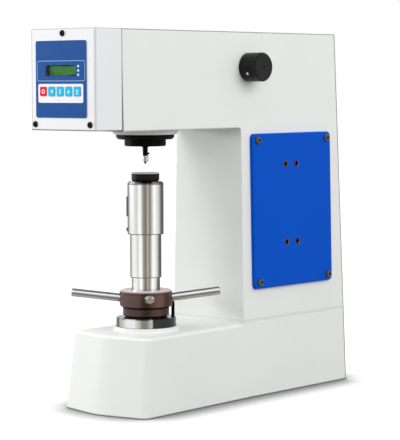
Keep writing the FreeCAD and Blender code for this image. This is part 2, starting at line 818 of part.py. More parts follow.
def build_rear_cover():
    """Rear access plate with the power entry and its rocker."""
    origin, thick = rear_origin(), S.rear_thick
    half_wide, half_tall = rear_cover_half()
    body = plate("rear_cover", -half_wide, -half_tall, half_wide, half_tall, thick,
                 origin, ON_BACK, corner=6)
    inlet_y, reach = S.inlet_up - half_tall, S.inlet_side / 2
    entry = new_sketch(body, lift=thick)
    draw_rectangle(entry, -reach - 0.2, inlet_y - reach - 0.2, reach + 0.2, inlet_y + reach + 0.2)
    cut(body, entry, thick * 2)
    drill(body, 2.2, rear_cover_spots(), thick * 2, lift=thick)
    cap_screws("rear_cover_screws", rear_cover_spots(), 3.8, 2.2, 1.9, 9, origin, ON_BACK,
               lift=thick)

    inlet = new_body("power_entry", origin, ON_BACK)
    shell = new_sketch(inlet, lift=-26)
    draw_rectangle(shell, -reach, inlet_y - reach, reach, inlet_y + reach)
    pad(inlet, shell, 26 + thick)
    flange = new_sketch(inlet, lift=thick)
    draw_rectangle(flange, -reach - 3, inlet_y - reach - 3, reach + 3, inlet_y + reach + 3)
    pad(inlet, flange, 2.5)
    face = thick + 2.5
    soften(inlet, 2, lambda edge: spans(edge, ZMin=thick, ZMax=face))
    socket = new_sketch(inlet, lift=face)
    draw_polygon(socket, [(x, inlet_y + y) for x, y in (
        (-12, -21), (12, -21), (12, -8), (8, -4), (-8, -4), (-12, -8))])
    cut(inlet, socket, 18)
    rocker_y = inlet_y + 11
    rocker_well = new_sketch(inlet, lift=face)
    draw_rectangle(rocker_well, -11, rocker_y - 9, 11, rocker_y + 9)
    cut(inlet, rocker_well, 12)
    pivots = new_sketch(inlet, "YZ_Plane")
    draw_circle(pivots, 1.5 + S.running_fit, rocker_y, 0)
    cut(inlet, pivots, 26, both_ways=True)
    pins = new_sketch(inlet, lift=face - 18)
    for x, y in ((-6, -13), (6, -13), (0, -9)):
        draw_rectangle(pins, x - 1, inlet_y + y - 1.8, x + 1, inlet_y + y + 1.8)
    pad(inlet, pins, 14)

    rocker = new_body("power_switch", origin, ON_BACK)
    tilt = math.radians(ROCKER_TILT)
    profile = new_sketch(rocker, "YZ_Plane")
    corners = [(-7.6, 6.4), (0, 5.2), (7.6, 6.4), (7.2, 0), (4, -2.5), (-4, -2.5), (-7.2, 0)]
    draw_polygon(profile, [(rocker_y + (y * math.cos(tilt) - z * math.sin(tilt)),
                            y * math.sin(tilt) + z * math.cos(tilt)) for y, z in corners])
    pad(rocker, profile, 21, both_ways=True)
    trunnion = new_sketch(rocker, "YZ_Plane")
    draw_circle(trunnion, 1.5, rocker_y, 0)
    pad(rocker, trunnion, 25, both_ways=True)


def build_nose():
    """Flange, nose ring, guide bush and the spindle with its indenter."""
    outer, stem = S.guide_radius, S.spindle_radius + 1.5
    turned("nose_flange", [
        (stem, FLANGE_FOOT), (S.flange_radius - 3.5, FLANGE_FOOT),
        (S.flange_radius, FLANGE_FOOT + 3.5), (S.flange_radius, NOSE_FACE), (stem, NOSE_FACE)])
    turned("nose_collar", [
        (stem, COLLAR_FOOT), (S.nose_radius - 1.6, COLLAR_FOOT),
        (S.nose_radius, COLLAR_FOOT + 1.6), (S.nose_radius, FLANGE_FOOT), (stem, FLANGE_FOOT)])
    guide_top = ARM_FLOOR + 30
    slide = S.spindle_radius + S.running_fit
    turned("spindle_guide", [
        (slide, NOSE_FACE), (outer, NOSE_FACE), (outer, ARM_FLOOR), (outer + 5, ARM_FLOOR),
        (outer + 5, ARM_FLOOR + 5), (outer - 4, ARM_FLOOR + 5), (outer - 4, guide_top),
        (slide, guide_top)])
    arm_foot = ARM_FLOOR + 48
    spindle_top = LEVER_FOOT - 0.3
    spindle = turned("spindle", [
        (0, SHANK_FOOT), (S.shank_radius, SHANK_FOOT), (S.shank_radius, COLLAR_FOOT - 3.2),
        (S.spindle_radius - 3.9, COLLAR_FOOT + 1), (S.spindle_radius, COLLAR_FOOT + 5),
        (S.spindle_radius, arm_foot + 8), (7, arm_foot + 12), (7, spindle_top),
        (0, spindle_top)])
    arm = new_body("sensor_arm", (0, 0, arm_foot))
    collar = new_sketch(arm)
    draw_circle(collar, S.spindle_radius + 7.5)
    pad(arm, collar, 7)
    finger = new_sketch(arm)
    draw_rectangle(finger, -6, 0, 6, 68)
    pad(arm, finger, 7)
    drill(arm, S.spindle_radius, [(0, 0)], 8, lift=7)

    turned("indenter", [
        (0, INDENTER_FOOT), (2.2, INDENTER_FOOT), (S.indenter_radius, INDENTER_FOOT + 2.2),
        (S.indenter_radius, SHANK_FOOT - 0.6), (S.indenter_radius - 0.6, SHANK_FOOT),
        (0, SHANK_FOOT)])
    turned("indenter_tip", [
        (0, TIP_POINT), (0.3, TIP_POINT + 0.1), (1.9, TIP_POINT + 1.6),
        (1.9, INDENTER_FOOT), (0, INDENTER_FOOT)])
    towards = FreeCAD.Rotation(FreeCAD.Vector(0, 0, 1), 41.4).multiply(TO_RIGHT)
    grip = (0, 0, SHANK_FOOT + 3.2)
    bore(spindle, 1.9, 2.5, S.shank_radius + 1, grip, towards)
    turned("indenter_screw", [(0, 2.5), (1.9, 2.5), (1.9, S.shank_radius + 2.6),
                              (1.5, S.shank_radius + 3), (0, S.shank_radius + 3)], grip, towards)

    # compression spring between the guide and the sensor arm, 1.2 mm wire radius
    spring = new_body("preload_spring", (0, 0, guide_top))
    wire, coil_radius = 1.2, S.spindle_radius + 4.1
    room = arm_foot - guide_top
    section = new_sketch(spring, "XZ_Plane")
    draw_circle(section, wire, coil_radius, wire + 0.05)
    coil = spring.newObject("PartDesign::AdditiveHelix", "Coil")
    coil.Profile = section
    coil.ReferenceAxis = (section, ["V_Axis"])
    coil.Mode = "pitch-height-angle"
    coil.Pitch = 4.0
    bind(coil, "Height", room - 2 * wire - 0.1)
    DOC.recompute()

    gauge = box_piece("depth_sensor", -13, 47, ARM_FLOOR, 26, 30, arm_foot - ARM_FLOOR - 6)
    plunger = new_sketch(gauge, lift=arm_foot - ARM_FLOOR - 6)
    draw_circle(plunger, 2.5, 13, 15)
    pad(gauge, plunger, 4)


def build_load_train():
    """Fulcrum, lever, hanger, weights and the motor that lowers them."""
    pivot_y = -S.fulcrum_back
    near = S.lever_half + 18
    brackets = new_body("fulcrum_brackets", (0, 0, ARM_FLOOR), many=True)
    cheeks = new_sketch(brackets)
    feet = new_sketch(brackets)
    for side in (-1, 1):
        for drawing, outer in ((cheeks, near + 8), (feet, near + 24)):
            draw_polygon(drawing, [
                (near * side, pivot_y - 24), (outer * side, pivot_y - 24),
                (outer * side, pivot_y + 24), (near * side, pivot_y + 24)])
    pad(brackets, cheeks, S.lever_z + 16 - ARM_FLOOR)
    pad(brackets, feet, 8)
    eyes = new_sketch(brackets, "YZ_Plane")
    draw_circle(eyes, S.pin_radius, pivot_y, S.lever_z - ARM_FLOOR)
    cut(brackets, eyes, near * 2 + 20, both_ways=True)
    pin_end, pin = near + 11, S.pin_radius
    turned("fulcrum_pin", [(0, -pin_end), (pin - 1, -pin_end), (pin, 1 - pin_end),
                           (pin, pin_end - 1), (pin - 1, pin_end), (0, pin_end)],
           (0, pivot_y, S.lever_z), TO_RIGHT)
    bearings = new_body("lever_bearings", (0, pivot_y, S.lever_z), TO_RIGHT, many=True)
    profile = new_sketch(bearings, "XZ_Plane")
    for low in (1 - S.lever_half, S.lever_half - 9):
        draw_rectangle(profile, pin + S.running_fit, low, pin + 5, low + 8)
    spin(bearings, profile)

    lever = new_body("main_lever", (0, 0, S.lever_z))
    blank = new_sketch(lever, "YZ_Plane")
    half = S.lever_tall / 2
    rear = S.motor_y + 16
    draw_polygon(blank, [(pivot_y - 18, -half), (rear, -half), (rear, half - 8),
                         (S.hanger_y - 150, half), (pivot_y - 18, half)])
    pad(lever, blank, S.lever_half * 2, both_ways=True)
    eyes = new_sketch(lever, "YZ_Plane")
    draw_circle(eyes, pin + 5, pivot_y, 0)
    draw_circle(eyes, 4.6, S.hanger_y, 0)
    cut(lever, eyes, S.lever_half * 2 + 2, both_ways=True)
    soften(lever, 2, lambda edge: edge.BoundBox.YLength > 100 and edge.BoundBox.XLength < 0.1)

    # weights stacked on the hanger's disc, which hangs from the lever by a yoke
    hanger = new_body("weight_hanger", (0, S.hanger_y, S.lever_z))
    disc_top = S.stack_foot - S.lever_z
    rod = new_sketch(hanger, "XZ_Plane")
    draw_polygon(rod, [(0, disc_top - 5), (22, disc_top - 5), (22, disc_top),
                       (S.hanger_rod, disc_top), (S.hanger_rod, -40), (0, -40)])
    spin(hanger, rod)
    yoke = new_sketch(hanger, "XZ_Plane")
    inside = S.lever_half + 1
    draw_polygon(yoke, [(-inside - 5, -46), (inside + 5, -46), (inside + 5, 10), (inside, 10),
                        (inside, -38), (-inside, -38), (-inside, 10), (-inside - 5, 10)])
    pad(hanger, yoke, 16, both_ways=True)
    cross_pin = new_sketch(hanger, "YZ_Plane")
    draw_circle(cross_pin, 4, 0, 0)
    pad(hanger, cross_pin, inside * 2 + 2, both_ways=True)

    weights = new_body("load_weights", (0, S.hanger_y, S.stack_foot), many=True)
    stack = new_sketch(weights, "XZ_Plane")
    eye = S.hanger_rod + 0.3
    for index in range(3):
        low = (S.weight_thick + S.weight_gap) * index
        shoulder = low + S.weight_thick
        draw_polygon(stack, [(eye, low), (S.weight_radius, low), (S.weight_radius, shoulder),
                             (20, shoulder), (20, shoulder + S.weight_gap - 0.05),
                             (eye, shoulder + S.weight_gap - 0.05)])
    spin(weights, stack)

    motor = new_body("loading_motor", (0, S.motor_y, 0))
    can = new_sketch(motor, "XZ_Plane")
    deck = LEVER_FOOT - 34
    slide = 6 + S.running_fit
    draw_polygon(can, [(0, deck - 120), (22, deck - 120), (22, deck - 40), (25, deck - 40),
                       (25, deck - 6), (12, deck - 6), (12, deck), (slide, deck),
                       (slide, deck - 110), (0, deck - 110)])
    spin(motor, can)
    shelf = new_sketch(motor, lift=deck - 46)
    half = chamber_half(deck - 40)
    draw_rectangle(shelf, -half, -24, half, 24)
    pad(motor, shelf, 6)
    drill(motor, slide, [(0, 0)], 8, lift=deck - 39)
    turned("lift_rod", [(0, deck - 90), (6, deck - 90), (6, LEVER_FOOT - 4),
                        (4, LEVER_FOOT - 0.3), (0, LEVER_FOOT - 0.3)], (0, S.motor_y, 0))
    box_piece("power_supply", -50, INNER_FACE + 19, S.chamber_floor, 100, 180, 52)


def build_selector():
    """Force knob, its shaft and cam, and the rest that picks up unused weights."""
    face = side_half(S.knob_z)
    origin = (face, S.knob_y, S.knob_z)
    radius, long, shaft = S.knob_radius, S.knob_long, S.shaft_radius
    turned("selector_knob", [
        (shaft + 1, 0.6), (radius - 1.2, 0.6), (radius, 1.8), (radius, long * 0.62),
        (radius - 0.9, long * 0.62 + 0.6), (radius - 0.9, long * 0.62 + 1.6),
        (radius, long * 0.62 + 2.2), (radius, long - 3), (radius - 2.6, long),
        (2.4, long), (1.2, long - 2.5), (0, long - 2.5), (0, long * 0.55),
        (shaft, long * 0.55), (shaft, long * 0.1), (shaft + 1, long * 0.1)],
        origin, TO_RIGHT)
    turned("selector_shaft", [(0, -40), (shaft, -40), (shaft, long * 0.55), (0, long * 0.55)],
           origin, TO_RIGHT)
    flange = -S.flank_wall - 0.5
    turned("selector_bush", [
        (shaft + S.running_fit, flange - 8), (shaft + 11, flange - 8), (shaft + 11, flange),
        (shaft * 2, flange), (shaft * 2, 0), (shaft + S.running_fit, 0)], origin, TO_RIGHT)
    cam = new_body("selector_cam", origin, TO_RIGHT)
    disc = new_sketch(cam, lift=-36)
    least, step = 12, 10
    rising = [(angle, least + S.cam_lift * angle / 240) for angle in range(0, 250, step)]
    falling = [(270, least + S.cam_lift * 0.8), (300, least + S.cam_lift * 0.35), (330, least)]
    draw_polygon(disc, [(reach * math.cos(math.radians(angle)),
                         -1 * reach * math.sin(math.radians(angle)))
                        for angle, reach in rising + falling])
    pad(cam, disc, 9)
    drill(cam, shaft, [(0, 0)], 12, lift=-26)

    # the rest hangs under the cam and carries a ring that the lowest weight can land on
    rod_x = face - 31
    rest_foot = REST_TOP - 6
    rod = new_body("selector_rod", (rod_x, S.knob_y, rest_foot))
    bar = new_sketch(rod)
    draw_circle(bar, 4.5)
    pad(rod, bar, S.knob_z - 12.6 - rest_foot)
    reach = S.hanger_y - S.knob_y
    arm = new_sketch(rod)
    draw_polygon(arm, [(-6, -6), (7, -6), (3, reach - 30), (-30, reach - 30)])
    pad(rod, arm, 6)
    rest = new_sketch(rod)
    draw_circle(rest, 46, -rod_x, reach)
    pad(rod, rest, 6)
    drill(rod, 27, [(-rod_x, reach)], 8, lift=7)
    guides = new_body("rod_guides", (rod_x, S.knob_y, 0), many=True)
    low, high = REST_TOP + 50, S.lever_z - 58
    for level in (low, high):
        lug = new_sketch(guides, lift=level)
        draw_rectangle(lug, -9, INNER_FACE - S.knob_y, 9, 9)
        pad(guides, lug, 16)
    drill(guides, 4.5 + S.running_fit, [(0, 0)], high - low + 30, lift=high + 20)


def build_capstan():
    """Ring seat, bearing, hub with four bars, nut, screw, sleeves and anvil."""
    recess = RING_TOP - 6.2
    inner = S.screw_radius + 6
    race = inner + 12
    turned("base_ring", [
        (inner, BOSS_TOP), (S.ring_radius - 0.8, BOSS_TOP), (S.ring_radius, BOSS_TOP + 0.8),
        (S.ring_radius, RING_TOP - 1.6), (S.ring_radius - 1.6, RING_TOP), (race, RING_TOP),
        (race, recess), (inner, recess)])
    ball_level = recess + 5.4
    washer = Part.makeCylinder(number(race) - 2, 3).cut(
        Part.makeCylinder(number(inner) + 0.5, 3))
    solids = [washer]
    for index in range(24):
        track = FreeCAD.Rotation(FreeCAD.Vector(0, 0, 1), 15 * index).multVec(
            FreeCAD.Vector(number(inner) + 5.2, 0, 5.4))
        ball = Part.makeSphere(2.35)
        ball.translate(track)
        solids.append(ball)
    bearing = DOC.addObject("Part::Feature", "thrust_bearing")
    bearing.Shape = Part.makeCompound(solids)
    bearing.Placement = FreeCAD.Placement(
        FreeCAD.Vector(0, 0, number(recess)), FreeCAD.Rotation())
    PIECES.append(bearing)
    turned("bearing_shield", [
        (inner + 0.5, ball_level + 2.5), (race - 1.6, ball_level + 2.5),
        (race - 1.6, RING_TOP + 0.4), (race - 0.4, RING_TOP + 0.4), (race - 0.4, HUB_FOOT),
        (inner + 0.5, HUB_FOOT)])

    nut_top = HUB_TOP - 6
    nut = S.screw_radius + 9
    hub = turned("handwheel_hub", [
        (nut, HUB_FOOT), (S.collar_radius - 1.2, HUB_FOOT), (S.collar_radius, HUB_FOOT + 1.2),
        (S.collar_radius, GROOVE_FOOT), (S.collar_radius - 2.2, GROOVE_FOOT),
        (S.collar_radius - 2.2, HUB_FLANK - 1), (S.hub_radius - 3, HUB_FLANK - 0.6),
        (S.hub_radius, HUB_FLANK + 2.4), (S.hub_radius, HUB_TOP - 3),
        (S.hub_radius - 3, HUB_TOP), (S.lower_radius, HUB_TOP), (S.lower_radius, nut_top),
        (nut, nut_top)])
    tip = S.bar_reach
    slope = math.degrees(math.atan2(number(S.bar_rise), number(tip - S.hub_radius) + 5.2))
    bars = new_body("handwheel_bars", many=True)
    for index in range(4):
        heading = 46.2 + 90 * index
        turn = FreeCAD.Rotation(FreeCAD.Vector(0, 0, 1), heading).multiply(
            FreeCAD.Rotation(FreeCAD.Vector(0, 1, 0), 90 - slope))
        spot = FreeCAD.Placement(FreeCAD.Vector(0, 0, number(HUB_FLANK) + 9.5), turn)
        low = number(S.hub_radius) - 7.7
        for body, high in ((hub, S.hub_radius + 5), (bars, tip)):
            kind = "PartDesign::SubtractiveCylinder" if body is hub else \
                "PartDesign::AdditiveCylinder"
            rod = body.newObject(kind, "Bar")
            rod.Radius = number(S.bar_radius)
            bind(rod, "Radius", S.bar_radius)
            rod.Height = number(high) - low
            bind(rod, "Height", high - low)
            rod.Placement = spot.multiply(FreeCAD.Placement(
                FreeCAD.Vector(0, 0, low), FreeCAD.Rotation()))
    DOC.recompute()
    soften(bars, 2.6, lambda edge: edge.CenterOfMass.Length > number(tip)
           and edge.Curve.TypeId == "Part::GeomCircle")

    tube("elevating_nut", nut, S.screw_radius + S.running_fit, HUB_FOOT, nut_top)
    tube("lower_sleeve", S.lower_radius, S.screw_radius + 3, nut_top, UPPER_FOOT - 4.5)
    middle_inner = S.lower_radius + S.sleeve_gap
    tube("middle_sleeve", S.middle_radius, middle_inner, MIDDLE_FOOT, UPPER_FOOT + 25.5)
    upper_inner = S.middle_radius + S.sleeve_gap
    turned("upper_sleeve", [
        (upper_inner, UPPER_FOOT), (S.upper_radius, UPPER_FOOT),
        (S.upper_radius, UPPER_TOP - 3), (S.upper_radius - 3, UPPER_TOP), (12, UPPER_TOP),
        (12, SCREW_TOP), (upper_inner, SCREW_TOP)])
    screw = turned("elevating_screw", [
        (0, SCREW_FOOT), (S.screw_radius - 2, SCREW_FOOT), (S.screw_radius, SCREW_FOOT + 2),
        (S.screw_radius, SCREW_TOP), (12, SCREW_TOP), (12, UPPER_TOP), (0, UPPER_TOP)])
    drill(screw, 8, [(0, 0)], 24, lift=UPPER_TOP)
    keyway = new_sketch(screw, lift=SCREW_FOOT - 1)
    draw_rectangle(keyway, -3.2, -S.screw_radius - 1, 3.2, 4 - S.screw_radius)
    cut(screw, keyway, BOSS_TOP + S.screw_drop + 4 - SCREW_FOOT, backwards=True)
    turned("anvil", [
        (0, UPPER_TOP - 20), (7.9, UPPER_TOP - 20), (7.9, UPPER_TOP + 0.3),
        (S.anvil_radius - 2.5, UPPER_TOP + 0.3), (S.anvil_radius, UPPER_TOP + 2.5),
        (S.anvil_radius, ANVIL_TOP - 1), (S.anvil_radius - 1, ANVIL_TOP), (0, ANVIL_TOP)])
    left = FreeCAD.Rotation(FreeCAD.Vector(0, 0, 1), 225)
    strip = new_body("sleeve_guide_strip", (0, 0, 0), left, many=True)
    band = new_sketch(strip, lift=UPPER_FOOT + 31)
    draw_rectangle(band, S.upper_radius - 1, -3.5, S.upper_radius + 2, 3.5)
    pad(strip, band, 35)
    button = new_sketch(strip, "YZ_Plane", lift=S.upper_radius - 1)
    draw_circle(button, 3.4, 0, UPPER_FOOT + 8)
    pad(strip, button, 3)
    drill(strip, S.upper_radius, [(0, 0)], S.upper_long, lift=UPPER_TOP)

    key = new_body("screw_key")
    bar = new_sketch(key, lift=BOSS_TOP - 14)
    draw_rectangle(bar, -3, -S.screw_radius - 6, 3, 3.6 - S.screw_radius)
    pad(key, bar, 14)
    post_turn = math.radians(60.6)
    reach = S.hub_radius + 3.5
    turned("stop_post", [(0, RING_TOP), (3, RING_TOP), (3, RING_TOP + 23.5),
                         (2, RING_TOP + 25), (0, RING_TOP + 25.5)],
           (reach * math.cos(post_turn), reach * math.sin(post_turn), 0))


build_casting()
build_front_cover()
build_panel()
build_side_cover()
build_rear_cover()
build_nose()
build_load_train()
build_selector()
build_capstan()
DOC.recompute()


# ------------------------------------------------------------------ checks and export
def export_all():
    faults = [item.Name for item in DOC.Objects
              if "Invalid" in item.State or "Error" in item.State]
    if faults:
        raise RuntimeError("failed features: %s" % faults)
    for piece in PIECES:
        if piece.Shape.isNull() or not piece.Shape.isValid():
            raise RuntimeError("bad shape: %s" % piece.Label)
    os.makedirs("parts", exist_ok=True)
    for piece in PIECES:
        piece.Shape.exportStep("parts/%s.step" % piece.Label)


export_all()
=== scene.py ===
# %% [markdown]
# # A bench hardness tester
# A hardness tester presses a diamond into a metal sample with a known force and measures how
# deep it goes. This one has a white cast frame shaped like a C, a blue keypad head on its arm,
# a steel screw that lifts the sample and a blue cover on its flank. The solids of the machine
# arrive finished and in place. The cells below give them their finishes, add the small pieces
# that are easier to make as meshes, and set up the studio.

import math

import bmesh
import bpy
from mathutils import Euler, Matrix, Vector


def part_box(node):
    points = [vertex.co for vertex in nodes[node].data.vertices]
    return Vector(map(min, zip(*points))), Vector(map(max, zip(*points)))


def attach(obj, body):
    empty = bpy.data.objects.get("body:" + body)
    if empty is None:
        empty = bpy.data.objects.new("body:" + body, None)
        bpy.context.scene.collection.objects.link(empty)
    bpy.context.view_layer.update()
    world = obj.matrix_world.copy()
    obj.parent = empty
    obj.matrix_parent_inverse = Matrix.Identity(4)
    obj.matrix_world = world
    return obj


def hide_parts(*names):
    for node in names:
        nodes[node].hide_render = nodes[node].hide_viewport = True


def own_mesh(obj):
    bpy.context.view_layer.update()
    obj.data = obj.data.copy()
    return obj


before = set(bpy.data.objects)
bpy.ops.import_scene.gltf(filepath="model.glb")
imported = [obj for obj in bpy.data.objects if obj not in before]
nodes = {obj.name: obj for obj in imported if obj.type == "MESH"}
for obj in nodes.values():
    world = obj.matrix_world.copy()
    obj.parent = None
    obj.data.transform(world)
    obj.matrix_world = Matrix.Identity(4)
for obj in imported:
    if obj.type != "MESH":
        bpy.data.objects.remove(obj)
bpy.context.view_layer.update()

# %% [markdown]
# ## Units and colours
# Sizes are written in millimetres, as a machinist would, and turned into metres once. Places
# come from the boxes round the solids, which `box_mm` reads. Colours are written as everyday 0
# to 255 values. Blender's shaders want linear light, so `paint_rgb` undoes the screen's gamma
# curve.

# %% Units and colours
MM = 0.001


def paint_rgb(red, green, blue):
    """An everyday colour as linear light."""
    return tuple((c / 255 / 12.92) if c <= 10 else ((c / 255 + 0.055) / 1.055) ** 2.4
                 for c in (red, green, blue))


def box_mm(node):
    """Low and high corner of a CAD node's box in millimetres."""
    low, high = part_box(node)
    return low / MM, high / MM


def middle(node):
    """Centre of a CAD node's box in metres."""
    low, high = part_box(node)
    return (low + high) / 2


print("keypad panel is centred %.1f mm above the floor" % (middle("membrane_panel").z / MM))

# %% [markdown]
# ## A small workshop for finishes
# Every finish is one Principled shader with patterns on top. `Nodes` has short ways to add
# nodes and join them. `Finish` uses it to keep a material tidy: the even values sit on the
# shader itself, and only what varies over the surface is linked. All patterns use Object
# coordinates, which are real metres on the machine, so grain keeps the same size on a big
# casting and on a small key.

# %% Node helpers
class Nodes:
    """A node tree with short ways to add and join its nodes."""

    def __init__(self, tree):
        self.tree = tree

    def feed(self, socket, value):
        """Fills an input with a value, or links it where the value is another socket."""
        if isinstance(value, bpy.types.NodeSocket):
            self.tree.links.new(value, socket)
        else:
            socket.default_value = value

    def add(self, kind, **values):
        """Adds a node and fills its settings and its inputs by name."""
        node = self.tree.nodes.new("ShaderNode" + kind)
        for name, value in values.items():
            if hasattr(node, name):
                setattr(node, name, value)
            else:
                self.feed(node.inputs[name.replace("_", " ")], value)
        return node

    def steps(self, kind, operation, values):
        """The outputs of one step of arithmetic on values or sockets."""
        node = self.add(kind, operation=operation)
        for socket, value in zip(node.inputs, values):
            self.feed(socket, value)
        return node.outputs

    def calc(self, operation, *values):
        """Arithmetic on numbers."""
        return self.steps("Math", operation, values)["Value"]

    def vector(self, operation, *values):
        """Arithmetic on vectors. The answer is a Value or a Vector."""
        return self.steps("VectorMath", operation, values)

    def spread(self, value, low, high, start=0.3, end=0.7):
        """Carries a pattern from one range, where noise mostly lies, over to another."""
        return self.add("MapRange", Value=value, From_Min=start, From_Max=end, To_Min=low,
                        To_Max=high).outputs["Result"]

    def between(self, value, low, high, soft):
        """1 between two limits and 0 outside, with soft edges."""
        return self.calc("MULTIPLY", self.spread(value, 0, 1, low - soft, low + soft),
                         self.spread(value, 1, 0, high - soft, high + soft))

    def seen_directly(self):
        """1 where the camera, a reflection or glass looks straight at the surface."""
        rays = self.add("LightPath").outputs
        seen = self.calc("MAXIMUM", rays["Is Camera Ray"], rays["Is Glossy Ray"])
        return self.calc("MAXIMUM", seen, rays["Is Transmission Ray"])


# %% [markdown]
# A finish starts as an even colour. Each call below lays one more pattern over the colour so
# far, so the order of the calls is the order of the coats.

# %% The finish builder
class Finish(Nodes):
    """One material: a shader and the patterns that vary it."""

    def __init__(self, name, colour, roughness, metallic=0.0, **sockets):
        self.material = bpy.data.materials.new(name)
        self.material.use_nodes = True
        super().__init__(self.material.node_tree)
        self.shader = self.tree.nodes["Principled BSDF"]
        self.colour = (*colour, 1.0)
        for socket, value in {"Base Color": self.colour, "Roughness": roughness,
                              "Metallic": metallic, **sockets}.items():
            self.shader.inputs[socket.replace("_", " ")].default_value = value
        self.place = self.add("TexCoord").outputs["Object"]
        self.bumps = None

    def stretched(self, x, y, z):
        """Object coordinates scaled per axis, for grain with a direction."""
        return self.add("Mapping", Vector=self.place, Scale=(x, y, z)).outputs["Vector"]

    def noise(self, scale, detail=3.0, roughness=0.5, where=None):
        """A 0 to 1 grain, with a scale in waves per metre."""
        return self.add("TexNoise", Vector=where or self.place, Scale=scale, Detail=detail,
                        Roughness=roughness).outputs["Fac"]

    def along(self, x, y, z):
        """Distance in millimetres along a direction, (0, 0, 1) being height."""
        return self.vector("DOT_PRODUCT", self.place, (x / MM, y / MM, z / MM))["Value"]

    def recolour(self, inlet, outlet):
        """Sends the colour so far through a node, in at one socket and out at another."""
        base = self.shader.inputs["Base Color"]
        if base.is_linked:
            self.tree.links.new(base.links[0].from_socket, inlet)
        else:
            inlet.default_value = self.colour[:len(inlet.default_value)]
        self.tree.links.new(outlet, base)

    def tint(self, pattern, low, high):
        """Varies the brightness of the colour so far between two factors."""
        node = self.add("VectorMath", operation="SCALE")
        self.feed(node.inputs["Scale"], self.spread(pattern, low, high))
        self.recolour(node.inputs[0], node.outputs["Vector"])

    def blend_colour(self, mask, other):
        """Mixes a second colour in where the mask is 1."""
        node = self.add("Mix", data_type="RGBA", B=(*other, 1.0))
        self.feed(node.inputs["Factor"], mask)
        self.recolour(node.inputs["A"], node.outputs["Result"])

    def shade(self, mask, strength, dark=(70, 71, 72)):
        """Moves the colour so far towards a darker one where the mask is 1."""
        self.blend_colour(self.calc("MULTIPLY", mask, strength), paint_rgb(*dark))

    def ramp(self, value, stops):
        """Colours the surface by a value, from (value, colour) stops in rising order."""
        first, last = stops[0][0], stops[-1][0]
        node = self.add("ValToRGB", Fac=self.spread(value, 0, 1, first, last))
        elements = node.color_ramp.elements
        for end in (0, -1):
            elements[end].color = (*paint_rgb(*stops[end][1]), 1.0)
        for level, colour in stops[1:-1]:
            spot = (level - first) / (last - first)
            elements.new(spot).color = (*paint_rgb(*colour), 1.0)
        self.feed(self.shader.inputs["Base Color"], node.outputs["Color"])

    def streaks(self, stops):
        """Colours a round piece by its heading in degrees round the screw."""
        axes = self.add("SeparateXYZ", Vector=self.place).outputs
        self.ramp(self.calc("DEGREES", self.calc("ARCTAN2", axes["Y"], axes["X"])), stops)

    def vary_roughness(self, pattern, low, high):
        """Lets a pattern move the roughness between two values."""
        self.feed(self.shader.inputs["Roughness"], self.spread(pattern, low, high))

    def bump(self, pattern, height):
        """Raises the surface by a pattern, height in millimetres, on top of earlier bumps."""
        under = {"Normal": self.bumps} if self.bumps else {}
        self.bumps = self.add("Bump", Height=pattern, Distance=height * MM, Strength=1.0,
                              **under).outputs["Normal"]
        self.feed(self.shader.inputs["Normal"], self.bumps)

    def turned_marks(self, reach, rings, roughness, smoother, rougher, height):
        """Grooves that run round an upright piece and vary its gloss and its height."""
        marks = self.noise(1, 2, 0.6, self.stretched(reach, reach, rings))
        self.vary_roughness(marks, roughness - smoother, roughness + rougher)
        self.bump(marks, height)


# %% [markdown]
# ## Paint on the castings
# A machine casting is filled, rubbed down and sprayed. The spray leaves a very shallow orange
# peel, the filler leaves the flanks slightly wavy, and handling leaves faint dull patches. Three
# noises do this: a fine one and a broad one as bump, and a middle one for the gloss.

# %% Painted finishes
def sprayed(name, colour, roughness=0.42, peel=0.010, shine=0.25):
    """Spray paint on filler, as a finish to work on. Peel is its fine texture's depth in mm."""
    finish = Finish(name, paint_rgb(*colour), roughness, Specular_IOR_Level=shine)
    finish.tint(finish.noise(7, 4, 0.6), 0.975, 1.012)
    finish.vary_roughness(finish.noise(22, 5, 0.65), roughness - 0.05, roughness + 0.08)
    finish.bump(finish.noise(900, 2), peel)
    finish.bump(finish.noise(18, 2), 0.05)
    return finish


COVER_WHITE = (231, 232, 233)
casting_finish = sprayed("casting paint", (229, 231, 228))
cover_finish = sprayed("cover paint", COVER_WHITE, peel=0.006)
side_cover_paint = sprayed("side cover paint", (0, 80, 194), 0.45, 0.012, 0.05).material
rear_cover_paint = sprayed("rear cover paint", (224, 226, 224), peel=0.008).material
weight_paint = sprayed("weight paint", (58, 60, 62), 0.45, 0.03, 0.2).material
print("%d paints" % len(bpy.data.materials))

# %% [markdown]
# Painted shade darkens the outermost edges of the casting and of the head's cover, and the seam
# where the cover meets the arm. Each edge is a narrow band along one direction: the top rim, the
# foot, the upright corners and the seam. Two more bands of painted shade lie under the arm and
# round the boss under the ring. The bands are placed from the boxes of the solids. The flanks and
# the back lean in by a few millimetres over the machine's height, so the band on the back edge
# follows that slope.

# %% Darker edges
FLANK_SLOPE, BACK_SLOPE = 13.7 / 660, 21.1 / 660
UP, ACROSS, DEPTH = (0, 0, 1), (1, 0, 0), (0, 1, 0)
LEFT_CORNER, RIGHT_CORNER = (-1, -1, 0), (1, -1, 0)
casting_high = box_mm("body_casting")[1]
cover_low, cover_high = box_mm("front_cover")
ring_foot = box_mm("base_ring")[0].z
corner_out = cover_high.x - cover_low.y


def shade_edges(finish, edges):
    """Paints shade into bands given as (direction, from, to, softness, strength)."""
    for direction, low, high, soft, strength in edges:
        finish.shade(finish.between(finish.along(*direction), low, high, soft), strength)
    return finish.material
